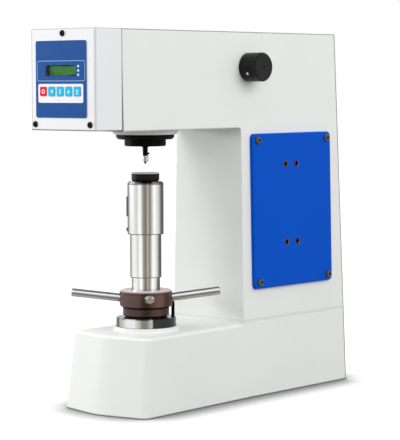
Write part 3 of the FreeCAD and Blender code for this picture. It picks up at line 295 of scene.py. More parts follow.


# Painted shade on the underside of the arm, in a band just under the head's cover.
arm_underside_shade = casting_finish.calc(
    "MULTIPLY",
    casting_finish.between(casting_finish.along(*UP), cover_low.z - 3.0, cover_low.z - 1.4, 0.2),
    casting_finish.between(casting_finish.along(*ACROSS), cover_low.x, cover_high.x - 2.0, 0.8))
casting_finish.shade(arm_underside_shade, 0.27)
# painted shade on the casting: top rim, round the boss under the ring, foot, back edge, seam
casting_paint = shade_edges(casting_finish, [
    (UP, casting_high.z - 1.9, casting_high.z - 0.3, 0.25, 0.75),
    (UP, ring_foot - 5.5, ring_foot + 0.3, 0.3, 0.11),
    (UP, -2, 1.6, 0.5, 0.8),
    ((0, 1, BACK_SLOPE), casting_high.y - 2.4, casting_high.y - 0.3, 0.2, 0.85),
    (DEPTH, cover_high.y + 0.5, cover_high.y + 1.6, 0.3, 0.8)])
# painted shade on the cover: top and bottom edges, both front corners, back edge at the seam
cover_paint = shade_edges(cover_finish, [
    (UP, cover_high.z - 1.6, cover_high.z - 0.25, 0.2, 0.55),
    (UP, cover_low.z + 0.2, cover_low.z + 1.8, 0.2, 0.75),
    (LEFT_CORNER, corner_out - 3.4, corner_out, 0.3, 0.5),
    (RIGHT_CORNER, corner_out - 2.9, corner_out, 0.3, 0.2),
    (DEPTH, cover_high.y - 1.6, cover_high.y + 5, 0.3, 0.8)])
print("darkened the edges of a casting %.0f mm high" % casting_high.z)

# %% [markdown]
# ## Bare metals
# Turned and ground steel keeps the tool's marks. On a sleeve they run round it, so the grain is
# noise stretched flat: long in x and y and very short in z. `ground` draws such rings and adds
# a few lengthwise polishing streaks. `plain_metal` is for pieces with an even fine grain.

# %% Metal finishes
def ground(name, colour, roughness=0.2, rings=2600, contrast=0.10, seen=(), bands=()):
    """Turned steel, with painted reflections by heading and dark bands by height where asked."""
    finish = Finish(name, paint_rgb(*colour), roughness, 1.0)
    if seen:
        finish.streaks(seen)
    for low, high, strength in bands:
        finish.shade(finish.between(finish.along(*UP), low, high, 0.25), strength)
    lengthwise = finish.noise(1, 3, 0.6, finish.stretched(60, 60, 3))
    finish.tint(lengthwise, 1 - contrast, 1 + contrast * 0.5)
    finish.turned_marks(12, rings, roughness, 0.05, 0.09, 0.0035)
    return finish.material


def plain_metal(name, colour, roughness, grain=400, depth=0.003):
    """Milled, cast or blackened metal."""
    finish = Finish(name, paint_rgb(*colour), roughness, 1.0)
    finish.tint(finish.noise(30, 4), 0.9, 1.08)
    finish.vary_roughness(finish.noise(120, 4), roughness - 0.06, roughness + 0.1)
    finish.bump(finish.noise(grain, 3), depth)
    return finish.material


# %% [markdown]
# Polished steel shows its surroundings as upright streaks of light and dark. The studio below
# is nearly bare, so the streaks of a furnished workshop are painted reflections in the colour:
# each list gives the colour by heading in degrees round the screw. The ring's list also darkens
# a wide stretch of it, from -33.5 to 60 degrees.

# %% Streaks round the screw
BRIGHT, PALE, GREY, DULL, DARK, BLACK = (
    (240, 240, 240), (222, 221, 219), (200, 199, 196), (180, 176, 168), (134, 130, 123),
    (50, 50, 52))
SLEEVE_LOOK = [(-180, GREY), (-138, BLACK), (-121, (40, 40, 40)), (-112, (150, 149, 147)),
               (-106, (212, 212, 211)), (-88, (222, 222, 221)), (-76, (196, 195, 192)),
               (-69, BRIGHT), (-62, (232, 232, 231)), (-56, (150, 146, 139)),
               (-46, (112, 108, 101)), (-40, (178, 174, 166)), (-34, (116, 112, 105)),
               (-27, (176, 174, 170)), (-19, BRIGHT), (-11, PALE), (-2, GREY),
               (7, (128, 126, 122)), (16, (88, 86, 84)), (45, BLACK), (180, GREY)]
RING_LOOK = [(-180, GREY), (-138, BLACK), (-120, (30, 30, 30)), (-113, (44, 44, 44)),
             (-107, (160, 159, 157)), (-99, (162, 161, 158)), (-91, (196, 196, 194)),
             (-84, (212, 212, 211)), (-70, (216, 216, 215)), (-65, (190, 189, 187)),
             (-60, (176, 174, 170)), (-55, (128, 124, 118)), (-46, (120, 116, 110)),
             (-41, (160, 157, 152)), (-35.5, (182, 180, 176)), (-33.5, BLACK), (60, BLACK),
             (90, DARK), (180, GREY)]
TIP_LOOK = [(-180, GREY), (-135, DARK), (-108, BRIGHT), (-78, GREY), (-56, DARK), (-44, DARK),
            (-32, DULL), (-20, GREY), (5, DULL), (40, DARK), (180, GREY)]
print("stops: sleeve %d, ring %d, tip %d" % (len(SLEEVE_LOOK), len(RING_LOOK), len(TIP_LOOK)))

# %% Steel and bronze pieces
def rims(node, foot_line, head_line=None):
    """Bands of painted shade at the foot of a sleeve, where it meets the next, and, where asked,
    a dark line just under its head.
    """
    low, high = box_mm(node)
    bands = [(low.z - 2, low.z + foot_line, 0.85)]
    if head_line:
        bands.append((high.z - head_line - 2, high.z - head_line, 0.8))
    return bands


SLEEVE = {"roughness": 0.19, "contrast": 0.05, "seen": SLEEVE_LOOK}
upper_steel = ground("upper sleeve steel", PALE, bands=rims("upper_sleeve", 1.5, 3.2), **SLEEVE)
middle_steel = ground("middle sleeve steel", PALE, bands=rims("middle_sleeve", 1.4), **SLEEVE)
sleeve_steel = ground("sleeve steel", PALE, **SLEEVE)
ring_steel = ground("ring steel", PALE, 0.2, 1800, 0.05, RING_LOOK)
tip_steel = ground("tip steel", PALE, 0.2, 1800, 0.05, TIP_LOOK)
race_steel = ground("race steel", (190, 189, 186), 0.2, 1800)
bush_bronze = ground("bush bronze", (176, 128, 72), 0.3)
bright_steel = plain_metal("bright steel", (186, 185, 182), 0.24)
inner_steel = plain_metal("inner steel", (128, 128, 127), 0.38, 500, 0.006)
zinc_screw = plain_metal("zinc screw", (176, 178, 180), 0.3)
cast_alloy = plain_metal("cast alloy", (150, 151, 153), 0.5, 700, 0.02)
print("%d finishes with the metals" % len(bpy.data.materials))

# %% [markdown]
# The capstan's bars are polished rods that rise outwards. Their painted highlights and
# reflections follow the height over the rod's own axis, which is worked out from the distance
# to the screw. The flat end of each bar is a darker grey.

# %% Polished bars
BAR_SLOPE, BAR_ROOT, BAR_END = math.tan(math.radians(7.1)), 25.6, 129.0
BAR_LOOK = [(-7.2, (110, 108, 106)), (-5.9, (150, 148, 145)), (-4.3, (190, 188, 184)),
            (-2.5, (128, 124, 118)), (-0.8, (84, 79, 72)), (1.0, (180, 178, 174)),
            (2.8, (250, 250, 250)), (4.5, (204, 204, 203)), (6.2, (118, 118, 120)),
            (7.2, (96, 96, 98))]
hub_low, hub_high = box_mm("handwheel_hub")
bar_finish = Finish("bar steel", paint_rgb(*GREY), 0.2, 1.0)
flat = bar_finish.vector("MULTIPLY", bar_finish.place, (1 / MM, 1 / MM, 0))["Vector"]
from_screw = bar_finish.vector("LENGTH", flat)["Value"]
axis_level = bar_finish.calc("MULTIPLY_ADD", from_screw, BAR_SLOPE, hub_low.z + BAR_ROOT)
bar_finish.ramp(bar_finish.calc("SUBTRACT", bar_finish.along(*UP), axis_level), BAR_LOOK)
at_end = bar_finish.spread(from_screw, 0, 0.9, BAR_END - 0.4, BAR_END + 0.4)
bar_finish.blend_colour(at_end, paint_rgb(134, 131, 126))
bar_finish.tint(bar_finish.noise(60, 4), 0.94, 1.04)
bar_finish.vary_roughness(bar_finish.noise(240, 4), 0.16, 0.28)
bar_finish.bump(bar_finish.noise(900, 2), 0.001)
bar_chrome = bar_finish.material
print("bars rise %.0f mm from the screw to their ends" % (BAR_SLOPE * BAR_END))

# %% [markdown]
# Blackened steel, as on the nose and the anvil, is an oxide skin: dark, half shiny, and a
# little brown where it is thin. It is made as a dark coating with a lot of gloss variation.

# %% Dark finishes
def blackened(name, colour, roughness, brown, shine):
    """An oxide skin that is brown where it is thin."""
    finish = Finish(name, paint_rgb(*colour), roughness, Specular_IOR_Level=shine)
    thin = finish.spread(finish.noise(160, 5, 0.7), 0.0, 0.25, 0.5, 0.8)
    finish.blend_colour(thin, paint_rgb(*brown))
    finish.turned_marks(10, 1500, roughness, 0.06, 0.1, 0.003)
    return finish.material


nose_black = blackened("nose black", (3, 3, 3), 0.36, (12, 10, 9), 0.04)
screw_black = blackened("screw black", (8, 8, 8), 0.34, (24, 20, 17), 0.12)
screw_bronze = blackened("screw bronze", (62, 54, 46), 0.3, (128, 104, 84), 0.5)
print("%d finishes with the blackened ones" % len(bpy.data.materials))

# %% [markdown]
# The anvil is blackened all over but for its ground top, and the capstan's hub is browned with
# a bright turned rim. The hub's groove and its foot on the ring are painted black as shade, and
# its brown changes by heading round the screw as painted reflections and shade. The bands follow
# the height on the piece. A later band lies over an earlier one, and a band at an end runs past
# it.

# %% Pieces with two finishes
def two_tone(name, colour, bands, stops=(), roughness=0.36, shine=0.1):
    """A dark piece whose colour changes in bands of (from, to, softness, colour, strength) and,
    with stops, by heading as painted reflections and shade.
    """
    finish = Finish(name, paint_rgb(*colour), roughness, Specular_IOR_Level=shine)
    if stops:
        finish.streaks(stops)
    finish.tint(finish.noise(160, 5, 0.7), 0.92, 1.1)
    for low, high, soft, shade, strength in bands:
        finish.shade(finish.between(finish.along(*UP), low, high, soft), strength, shade)
    finish.turned_marks(10, 1300, roughness, 0.06, 0.1, 0.003)
    return finish.material


PAST = 5.0
anvil_top = box_mm("anvil")[1].z
anvil_black = two_tone("anvil black", (8, 8, 9),
                       [(anvil_top - 1.9, anvil_top + PAST, 0.3, (186, 187, 188), 1.0),
                        (anvil_top - 7.6, anvil_top - 6.8, 0.3, (56, 56, 58), 0.6)])
BROWN, DEEP, WARM, EDGE = (92, 72, 66), (56, 40, 34), (108, 80, 69), (66, 52, 48)
# painted reflections and shade on the hub, by heading in degrees
HUB_LOOK = [(-180, BROWN), (-138, EDGE), (-112, BROWN), (-63, BROWN), (-52, DEEP), (-42, DEEP),
            (-30, BROWN), (-20, WARM), (-12, WARM), (4, DEEP), (50, EDGE), (180, BROWN)]
# darker towards the foot; groove and foot painted black as shade; darker under the rim
hub_brown = two_tone("hub brown", BROWN,
                     [(hub_low.z - PAST, hub_low.z + 14.0, 0.3, (50, 36, 32), 0.45),
                      (hub_low.z + 13.2, hub_low.z + 16.4, 0.3, (4, 3, 3), 1.0),
                      (hub_low.z - PAST, hub_low.z + 1.4, 0.3, (4, 3, 3), 1.0),
                      (hub_high.z - 6.0, hub_high.z - 3.4, 0.8, (60, 44, 38), 0.6),
                      (hub_high.z - 2.6, hub_high.z + PAST, 0.5, (150, 126, 122), 1.0),
                      (hub_high.z - 0.7, hub_high.z + PAST, 0.3, (206, 198, 198), 1.0)], HUB_LOOK)
print("anvil's top at %.1f mm, hub's at %.1f mm" % (anvil_top, hub_high.z))

# %% [markdown]
# ## Plastics
# Moulded plastic has no grain, only a fine spark-eroded texture and an even gloss.

# %% Plastic finishes
def moulded(name, colour, roughness=0.4, grain=1600, depth=0.006, shine=0.15, corners=()):
    """Plastic, with another colour outside a node's round corners where asked."""
    finish = Finish(name, paint_rgb(*colour), roughness, Specular_IOR_Level=shine)
    finish.tint(finish.noise(40, 3), 0.96, 1.03)
    if corners:
        node, radius, behind = corners
        finish.blend_colour(corner_mask(finish, node, radius), paint_rgb(*behind))
    finish.vary_roughness(finish.noise(300, 3), roughness - 0.04, roughness + 0.06)
    finish.bump(finish.noise(grain, 2), depth)
    return finish.material


def corner_mask(finish, node, radius):
    """1 outside a rounded rectangle drawn inside a node's upright face."""
    low, high = box_mm(node)
    squares = []
    for direction, start, end in ((ACROSS, low.x, high.x), (UP, low.z, high.z)):
        from_middle = finish.calc("ABSOLUTE", finish.calc(
            "SUBTRACT", finish.along(*direction), (start + end) / 2))
        past = finish.calc("MAXIMUM", finish.calc(
            "SUBTRACT", from_middle, (end - start) / 2 - radius), 0.0)
        squares.append(finish.calc("MULTIPLY", past, past))
    reach = finish.calc("SQRT", finish.calc("ADD", *squares))
    return finish.spread(reach, 0, 1, radius - 0.15, radius + 0.15)


panel_blue = moulded("panel blue", (30, 80, 148), 0.42, shine=0.05,
                     corners=("membrane_panel", 4.0, COVER_WHITE))
print_white = moulded("print white", (236, 237, 239), 0.42, depth=0.002)
print_pale = moulded("print pale blue", (122, 154, 202), 0.4, depth=0.002)
print_black = moulded("print black", (16, 18, 16), 0.5, depth=0.002)
key_red = moulded("key red", (240, 0, 46), 0.35, shine=0.06)
key_cyan = moulded("key cyan", (0, 192, 236), 0.35, shine=0.06)
# darker key colours for the painted shade round the keys' edges
red_edge_shade = moulded("rim red", (196, 0, 44), 0.4)
cyan_edge_shade = moulded("rim cyan", (0, 142, 190), 0.4)
knob_black = moulded("knob black", (14, 14, 15), 0.34, 2200, 0.010, 0.17)
dark_plastic = moulded("dark plastic", (26, 26, 28), 0.45)
board_green = moulded("board green", (20, 84, 48), 0.45, 600, 0.02)
lamp_white = moulded("lamp white", (252, 252, 252), 0.25)
print("%d finishes with the plastics" % len(bpy.data.materials))

# %% [markdown]
# The display is green liquid crystal behind a clear window. The casing throws a soft shadow
# over its left end, so the green falls off there.

# %% Window and display
DARK_AT, CLEAR_AT = -34, -16
window_finish = Finish("window clear", paint_rgb(250, 252, 250), 0.04,
                       Transmission_Weight=1.0, IOR=1.1)
window_finish.vary_roughness(window_finish.noise(60), 0.02, 0.07)
window_clear = window_finish.material

display_finish = Finish("display green", paint_rgb(54, 110, 45), 0.5, Specular_IOR_Level=0.1)
centre = middle("display_module").x / MM
in_shadow = display_finish.spread(display_finish.along(*ACROSS), 1.0, 0.0, centre + DARK_AT,
                                  centre + CLEAR_AT)
display_finish.tint(display_finish.noise(90, 2), 0.95, 1.05)
display_finish.blend_colour(in_shadow, paint_rgb(24, 58, 22))
display_green = display_finish.material
print("%d finishes in all" % len(bpy.data.materials))

# %% [markdown]
# ## Dress the solids
# Most solids already have the right shape and only need a finish. The table names each one.

# %% Give each solid its finish
FINISH_OF = {
    casting_paint: "body_casting",
    cover_paint: "front_cover",
    side_cover_paint: "side_cover",
    rear_cover_paint: "rear_cover",
    panel_blue: "membrane_panel",
    print_black: "indenter_tip",
    key_red: "start_key",
    key_cyan: "menu_key scale_key up_key down_key",
    window_clear: "display_window",
    display_green: "display_module",
    lamp_white: "led_lamps",
    board_green: "control_board",
    dark_plastic: "key_switches power_entry power_switch",
    nose_black: "nose_flange nose_collar spindle stop_post bearing_shield",
    screw_black: "front_cover_screws indenter_screw",
    screw_bronze: "side_cover_screws",
    zinc_screw: "rear_cover_screws rod_guides sensor_arm",
    anvil_black: "anvil",
    upper_steel: "upper_sleeve",
    middle_steel: "middle_sleeve",
    sleeve_steel: "lower_sleeve elevating_screw",
    tip_steel: "indenter",
    ring_steel: "base_ring",
    race_steel: "thrust_bearing",
    bar_chrome: "handwheel_bars",
    hub_brown: "handwheel_hub",
    bush_bronze: "elevating_nut spindle_guide selector_bush",
    bright_steel: "fulcrum_pin lever_bearings lift_rod selector_shaft",
    inner_steel: "main_lever weight_hanger fulcrum_brackets cover_posts screw_key preload_spring "
                 "selector_cam selector_rod sleeve_guide_strip",
    weight_paint: "load_weights",
    cast_alloy: "loading_motor power_supply depth_sensor",
    knob_black: "selector_knob",
}
undressed = set(nodes)
for material, names in FINISH_OF.items():
    for name in names.split():
        nodes[name].data.materials.clear()
        nodes[name].data.materials.append(material)
        undressed.remove(name)
print("dressed %d solids, left %s" % (len(nodes) - len(undressed), sorted(undressed)))

# %% [markdown]
# ## Shared mesh tools
# `new_piece` turns a mesh into an object with its finish, riding on one of the machine's bodies.


def add_object(name, data):
    """A new object in the scene, at the origin."""
    item = bpy.data.objects.new(name, data)
    bpy.context.scene.collection.objects.link(item)
    return item


def new_piece(name, mesh, material, body, stands_for=()):
    """An object for a finished mesh, riding on a body."""
    mesh.materials.clear()
    mesh.materials.append(material)
    piece = add_object(name, mesh)
    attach(piece, body)
    if stands_for:
        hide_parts(*stands_for)
    return piece


# %% [markdown]
# Round pieces are built as rings of points that are joined by bands of faces. `lathe_mesh`
# spins a profile of (radius, height) points, and `eased` takes the profile's sharp corners off
# first, because a real edge always catches a little light.

# %% Meshes from rings
def evaluated_mesh(item):
    """The plain mesh that an object's curve or modifiers come to."""
    graph = bpy.context.evaluated_depsgraph_get()
    return bpy.data.meshes.new_from_object(item.evaluated_get(graph))


def closed_mesh(work, name, degrees=None):
    """A mesh from a bmesh, with its faces turned outwards and its real edges kept crisp."""
    bmesh.ops.recalc_face_normals(work, faces=work.faces)
    mesh = bpy.data.meshes.new(name)
    work.to_mesh(mesh)
    work.free()
    if degrees:
        mesh.shade_smooth()
        mesh.set_sharp_from_angle(angle=math.radians(degrees))
    return mesh


def around(steps):
    """Angles of equal steps round a circle."""
    return [2 * math.pi * step / steps for step in range(steps)]


def join_rings(work, one, two):
    """A band of faces between two rings of points, either of which may be a single point."""
    steps = max(len(one), len(two))
    for step in range(steps):
        following = (step + 1) % steps
        if len(one) == 1:
            work.faces.new((one[0], two[following], two[step]))
        elif len(two) == 1:
            work.faces.new((one[step], one[following], two[0]))
        else:
            work.faces.new((one[step], one[following], two[following], two[step]))


def eased(profile, amount):
    """Cuts every inner corner of a profile into a short bevel."""
    points = [profile[0]]
    for before, here, after in zip(profile, profile[1:], profile[2:]):
        here = Vector(here)
        for other in (Vector(before), Vector(after)):
            reach = (other - here).length
            step = min(amount, reach * 0.45)
            points.append(tuple(here + (other - here) * (step / reach)))
    points.append(profile[-1])
    return points


def lathe_mesh(name, profile, steps, turn=Matrix.Identity(4)):
    """Spins (radius, height) points in millimetres, from axis to axis, into a closed mesh."""
    work = bmesh.new()
    rings = []
    for radius, height in profile:
        spokes = around(steps) if radius else [0.0]
        rings.append([work.verts.new((radius * MM * math.cos(angle),
                                      radius * MM * math.sin(angle), height * MM))
                      for angle in spokes])
    for one, two in zip(rings, rings[1:]):
        join_rings(work, one, two)
    work.transform(turn)
    return closed_mesh(work, name, 32)


print("a ring of 8 points turns by %.0f degrees a step" % math.degrees(around(8)[1]))

# %% [markdown]
# ## Printed graphics on the head
# The keypad is a blue membrane with printed areas: a white field behind the keys and a pale
# outline round the display. A print is drawn as a flat curve. Closed outlines inside each
# other leave holes, which makes the windows for the keys. The curve gets a thickness, becomes
# a mesh, and is stood up against the panel.

# %% Outlines and prints
def rounded(left, low, right, high, radius, steps=7):
    """A rectangle with round corners as a list of points."""
    points = []
    for x, y, start in ((right - radius, high - radius, 0), (left + radius, high - radius, 90),
                        (left + radius, low + radius, 180), (right - radius, low + radius, 270)):
        for step in range(steps):
            angle = math.radians(start + 90 * step / (steps - 1))
            points.append((x + radius * math.cos(angle), y + radius * math.sin(angle)))
    return points


def inset(box, left, foot, right, head, radius):
    """A round-cornered area inside a box, by its distances from the four sides."""
    low, high = box
    return rounded(low.x + left, low.z + foot, high.x - right, high.z - head, radius)


def square(reach, radius, x=0.0, y=0.0):
    """A round-cornered square about a point."""
    return rounded(x - reach, y - reach, x + reach, y + reach, radius)


def disc(radius, x=0.0, y=0.0):
    """A circle about a point as a list of points."""
    return [(x + radius * math.cos(angle), y + radius * math.sin(angle))
            for angle in around(32)]


def printed(name, outlines, thickness, place, material, body):
    """A thin flat piece from outlines in millimetres, put in place by a matrix."""
    drawing = bpy.data.curves.new(name, "CURVE")
    drawing.dimensions = "2D"
    drawing.fill_mode = "BOTH"
    drawing.extrude = thickness * MM / 2
    for outline in outlines:
        line = drawing.splines.new("POLY")
        line.points.add(len(outline) - 1)
        for point, (x, y) in zip(line.points, outline):
            point.co = (x * MM, y * MM, 0, 1)
        line.use_cyclic_u = True
    sketch = add_object(name + "_sketch", drawing)
    mesh = evaluated_mesh(sketch)
    bpy.data.objects.remove(sketch)
    mesh.transform(place)
    work = bmesh.new()
    work.from_mesh(mesh)
    bpy.data.meshes.remove(mesh)
    bmesh.ops.remove_doubles(work, verts=work.verts, dist=1e-6)
    return new_piece(name, closed_mesh(work, name), material, body)


def on_panel(y, x=0.0, z=0.0):
    """Stands a drawing up to face the operator at depth y."""
    return Matrix.Translation((x, y, z)) @ Matrix.Rotation(math.radians(90), 4, "X")


PRINT_THICK = 0.12
KEY_FLANGE, KEY_GAP = 1.2, 0.45
OUTLINE_WIDE = 1.4
panel = box_mm("membrane_panel")
print_level = panel[0].y - PRINT_THICK / 2
print_place = on_panel(print_level * MM)
print("prints stand at y = %.2f mm" % print_level)

# %% Key field and display outline
keys = ["start_key", "menu_key", "scale_key", "up_key", "down_key"]
key_low, key_high = box_mm("menu_key")
key_reach = (key_high.z - key_low.z) / 2 - KEY_FLANGE + KEY_GAP
field = [inset(panel, 6.0, 25.2, 8.0, 72.2, 3.5)]
for key in keys:
    centre = middle(key) / MM
    field.append(square(key_reach, 2.2, centre.x, centre.z))
printed("key_field_print", field, PRINT_THICK, print_place, print_white, "machine")
outline = (2.9, 61.0, 3.4, 33.2)
printed("display_outline_print",
        [inset(panel, *outline, 4), inset(panel, *(side + OUTLINE_WIDE for side in outline), 3)],
        PRINT_THICK, print_place, print_pale, "machine")
print("printed a field with %d windows of %.1f mm" % (len(keys), key_reach * 2))

# %% [markdown]
# The liquid crystal sits a little behind the panel, so a black mask frames it. Its left border
# is wider than the others: the display's black border together with painted shade on the wall of
# the recess, seen from the right. A thin black liner covers the cut edge of the casing round the
# window as painted shade in the recess.

# %% Display mask and its liner
window = box_mm("display_window")
front, back = window[0].y, window[1].y
mask_level = box_mm("display_module")[0].y - 0.1
printed("display_mask", [inset(window, 0, 0, 0, 0, 0.4), inset(window, 6.2, 1.0, 1.2, 1.6, 0.4)],
        0.15, on_panel(mask_level * MM), print_black, "machine")
printed("display_liner", [inset(window, *[0.05] * 4, 0.4), inset(window, *[0.5] * 4, 0.4)],
        (back - front) * 0.9, on_panel((front + back) / 2 * MM), print_black, "machine")
print("mask %.1f mm behind the window's face" % (mask_level - front))

# %% [markdown]
# ## Symbols on the keys
# The keys carry plain white symbols, a ring to start and arrows to move through the menu, and
# each has a darker rim of painted shade round its raised edge. Symbol and rim ride on their own
# key, so they go in when the key is pressed.

# %% Key symbols
def arrow(turn, size=2.7, y=0.0):
    """A triangle that points along an angle in degrees, moved up by y."""
    angle = math.radians(turn)
    return [(size * (across * math.cos(angle) - ahead * math.sin(angle)),
             size * (across * math.sin(angle) + ahead * math.cos(angle)) + y)
            for across, ahead in ((-0.9, -1.0), (0.9, 0.0), (-0.9, 1.0))]


SYMBOLS = {
    "start_key": [disc(3.6), disc(2.2)],
    "menu_key": [arrow(180)],
    "scale_key": [arrow(90, 2.0, 2.5), arrow(270, 2.0, -2.5)],
    "up_key": [arrow(90)],
    "down_key": [arrow(270), rounded(-2.7, -4.4, 2.7, -3.3, 0.3)],
}
key_edge_shade = [square(key_reach - 0.05, 2.15), square(key_reach - 1.0, 1.4)]
for key, symbol in SYMBOLS.items():
    centre = middle(key)
    key_face = on_panel(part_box(key)[0].y - 0.05 * MM, centre.x, centre.z)
    edge_shade_finish = red_edge_shade if key == "start_key" else cyan_edge_shade
    printed(key + "_symbol", symbol, PRINT_THICK, key_face, print_white, key + "_cap")
    printed(key + "_rim", key_edge_shade, PRINT_THICK, key_face, edge_shade_finish, key + "_cap")
print("symbols and rims on %d keys" % len(SYMBOLS))

# %% [markdown]
# ## Screws
# The covers are held by button-head screws with a hexagon socket. One head is built as rings
# of points: a dome that comes in to a hexagonal rim, the socket's straight walls, and a
# drill point at the bottom. Geometry Nodes then puts it at each screw's place, which is read
# from the solids that the screws replace.

# %% One screw head
SCREW_STEPS, HEX = 36, math.radians(60)


def screw_head_mesh(name, head, rise, socket, depth):
    """A button head round the z axis, seated at zero, with its socket cut in."""
    work = bmesh.new()

    def ring(size, height, hexagonal=False):
        points = []
        for angle in around(SCREW_STEPS):
            reach = size * MM
            if hexagonal:
                from_flat = (angle + HEX / 2) % HEX - HEX / 2
                reach *= math.cos(HEX / 2) / math.cos(from_flat)
            points.append(work.verts.new((reach * math.cos(angle), reach * math.sin(angle),
                                          height * MM)))
        return points

    rim = socket * 1.12
    rings = [ring(head * 0.96, 0.0), ring(head, rise * 0.06)]
    for step in range(1, 7):
        lean = math.radians(90 * step / 7)
        rings.append(ring(rim + (head - rim) * math.cos(lean),
                          rise * (0.06 + 0.94 * math.sin(lean))))
    rings += [ring(socket * 1.03, rise, True), ring(socket, rise - 0.25, True),
              ring(socket, rise - depth, True), ring(socket * 0.55, rise - depth - 0.35, True)]
    for one, two in zip(rings, rings[1:]):
        join_rings(work, one, two)
    work.faces.new(rings[0][::-1])
    work.faces.new(rings[-1])
    return closed_mesh(work, name, 38)


print("a screw head has %d points to a ring" % SCREW_STEPS)

# %% [markdown]
# One CAD node can hold several pieces. `islands` walks along the edges of its mesh and so
# finds the box round each of them. The lamps beside the display get a white printed ring each.

# %% Places of grouped pieces, and rings round the lamps
def islands(node):
    """Boxes of the separate solids inside one CAD node, in order from left to right."""
    work = bmesh.new()
    work.from_mesh(nodes[node].data)
    bmesh.ops.remove_doubles(work, verts=work.verts, dist=1e-6)
    left, boxes = set(work.verts), []
    while left:
        waiting, seen = [left.pop()], []
        while waiting:
            vert = waiting.pop()
            seen.append(vert.co.copy())
            for edge in vert.link_edges:
                other = edge.other_vert(vert)
                if other in left:
                    left.remove(other)
                    waiting.append(other)
        boxes.append((Vector(min(c[i] for c in seen) for i in range(3)),
                      Vector(max(c[i] for c in seen) for i in range(3))))
    work.free()
    return sorted(boxes, key=lambda box: box[0][:])


lamp_rings = []
for low, high in islands("led_lamps"):
    centre, reach = (low + high) / 2 / MM, (high.x - low.x) / 2 / MM
    lamp_rings += [disc(reach + 0.4, centre.x, centre.z), disc(reach + 0.02, centre.x, centre.z)]
printed("lamp_rings_print", lamp_rings, PRINT_THICK, print_place, lamp_white, "machine")
print("lamp rings x", len(lamp_rings) // 2)

# %% [markdown]
# The tree below is used for every set of repeated small pieces. Its inputs are the piece to
# repeat, the tilt of the face they sit on and the finish. The points are plain vertices.

# %% The repeating tree
def repeating_tree():
    """Geometry nodes that put one piece at every point, make it real and give it a finish."""
    tree = bpy.data.node_groups.new("repeat on points", "GeometryNodeTree")
    sockets = [("Geometry", "NodeSocketGeometry"), ("Piece", "NodeSocketObject"),
               ("Tilt", "NodeSocketRotation"), ("Finish", "NodeSocketMaterial")]
    for name, kind in sockets:
        tree.interface.new_socket(name, in_out="INPUT", socket_type=kind)
    tree.interface.new_socket("Geometry", in_out="OUTPUT", socket_type="NodeSocketGeometry")
    inputs, outputs = tree.nodes.new("NodeGroupInput"), tree.nodes.new("NodeGroupOutput")
    points, info, repeat, realize, finish = (
        tree.nodes.new("GeometryNode" + kind) for kind in (
            "MeshToPoints", "ObjectInfo", "InstanceOnPoints", "RealizeInstances", "SetMaterial"))
    for source, outlet, target, inlet in (
            (inputs, "Geometry", points, "Mesh"), (inputs, "Piece", info, "Object"),
            (points, "Points", repeat, "Points"), (info, "Geometry", repeat, "Instance"),
            (inputs, "Tilt", repeat, "Rotation"), (repeat, "Instances", realize, "Geometry"),
            (realize, "Geometry", finish, "Geometry"), (inputs, "Finish", finish, "Material"),
            (finish, "Geometry", outputs, "Geometry")):
        tree.links.new(source.outputs[outlet], target.inputs[inlet])
    return tree


REPEAT = repeating_tree()


def repeated(name, prototype, spots, tilt, material, body, stands_for=()):
    """Puts a mesh at each spot, tilted by an Euler rotation, as one plain mesh."""
    points = bpy.data.meshes.new(name + "_spots")
    points.from_pydata([tuple(spot) for spot in spots], [], [])
    source, host = add_object(name + "_one", prototype), add_object(name + "_host", points)
    modifier = host.modifiers.new("repeat", "NODES")
    modifier.node_group = REPEAT
    for socket, value in (("Piece", source), ("Tilt", tilt), ("Finish", material)):
        modifier[REPEAT.interface.items_tree[socket].identifier] = value
    mesh = evaluated_mesh(host)
    mesh.name = name
    for item in (source, host):
        bpy.data.objects.remove(item)
    return new_piece(name, mesh, material, body, stands_for)


print("the repeating tree has %d nodes" % len(REPEAT.nodes))

# %% [markdown]
# Each cover has its own screws and faces its own way: the head's cover to the front, the side
# cover out and a little up with the leaning flank, and the rear cover back and a little up.
# The head of each screw ends where the solid screw ended.

# %% Lay out the screws
QUARTER = math.radians(90)
FRONT = (QUARTER, 0, 0)
SIDE = (0, QUARTER - math.atan(FLANK_SLOPE), 0)
BACK = (math.atan(BACK_SLOPE) - QUARTER, 0, 0)
# for each group: tilt, head radius, rise, socket radius, socket depth and finish
HEADS = {"front_cover_screws": (FRONT, 5.4, 3.2, 2.6, 1.9, screw_black),
         "side_cover_screws": (SIDE, 7.2, 5.2, 3.2, 3.0, screw_bronze),
         "rear_cover_screws": (BACK, 3.8, 2.2, 1.7, 1.4, zinc_screw)}


def facing(tilt):
    """Where a piece's own z axis points once it is tilted."""
    return Euler(tilt).to_matrix() @ Vector((0, 0, 1))


for node, (tilt, head, rise, socket, depth, material) in HEADS.items():
    outwards = facing(tilt)
    spots = []
    for low, high in islands(node):
        tip = (low + high) / 2 + outwards * (high - low).dot(Vector(map(abs, outwards))) / 2
        spots.append(tip - outwards * (rise + head * abs(outwards.z)) * MM)
    prototype = screw_head_mesh(node + "_head", head, rise, socket, depth)
    repeated(node + "_heads", prototype, spots, tilt, material, "machine", (node,))
    print(node, "x", len(spots))

# %% [markdown]
# ## Threaded inserts and the knob's mark
# The four holes in the side cover are lined with bronze threaded inserts, so that an
# accessory can be screwed on. One insert is spun from its profile and the same tree repeats
# it. The cover leans with the flank, so the spots are measured along the leaning face. The
# white mark on the knob's skirt is a shallow round plug that turns with the knob.

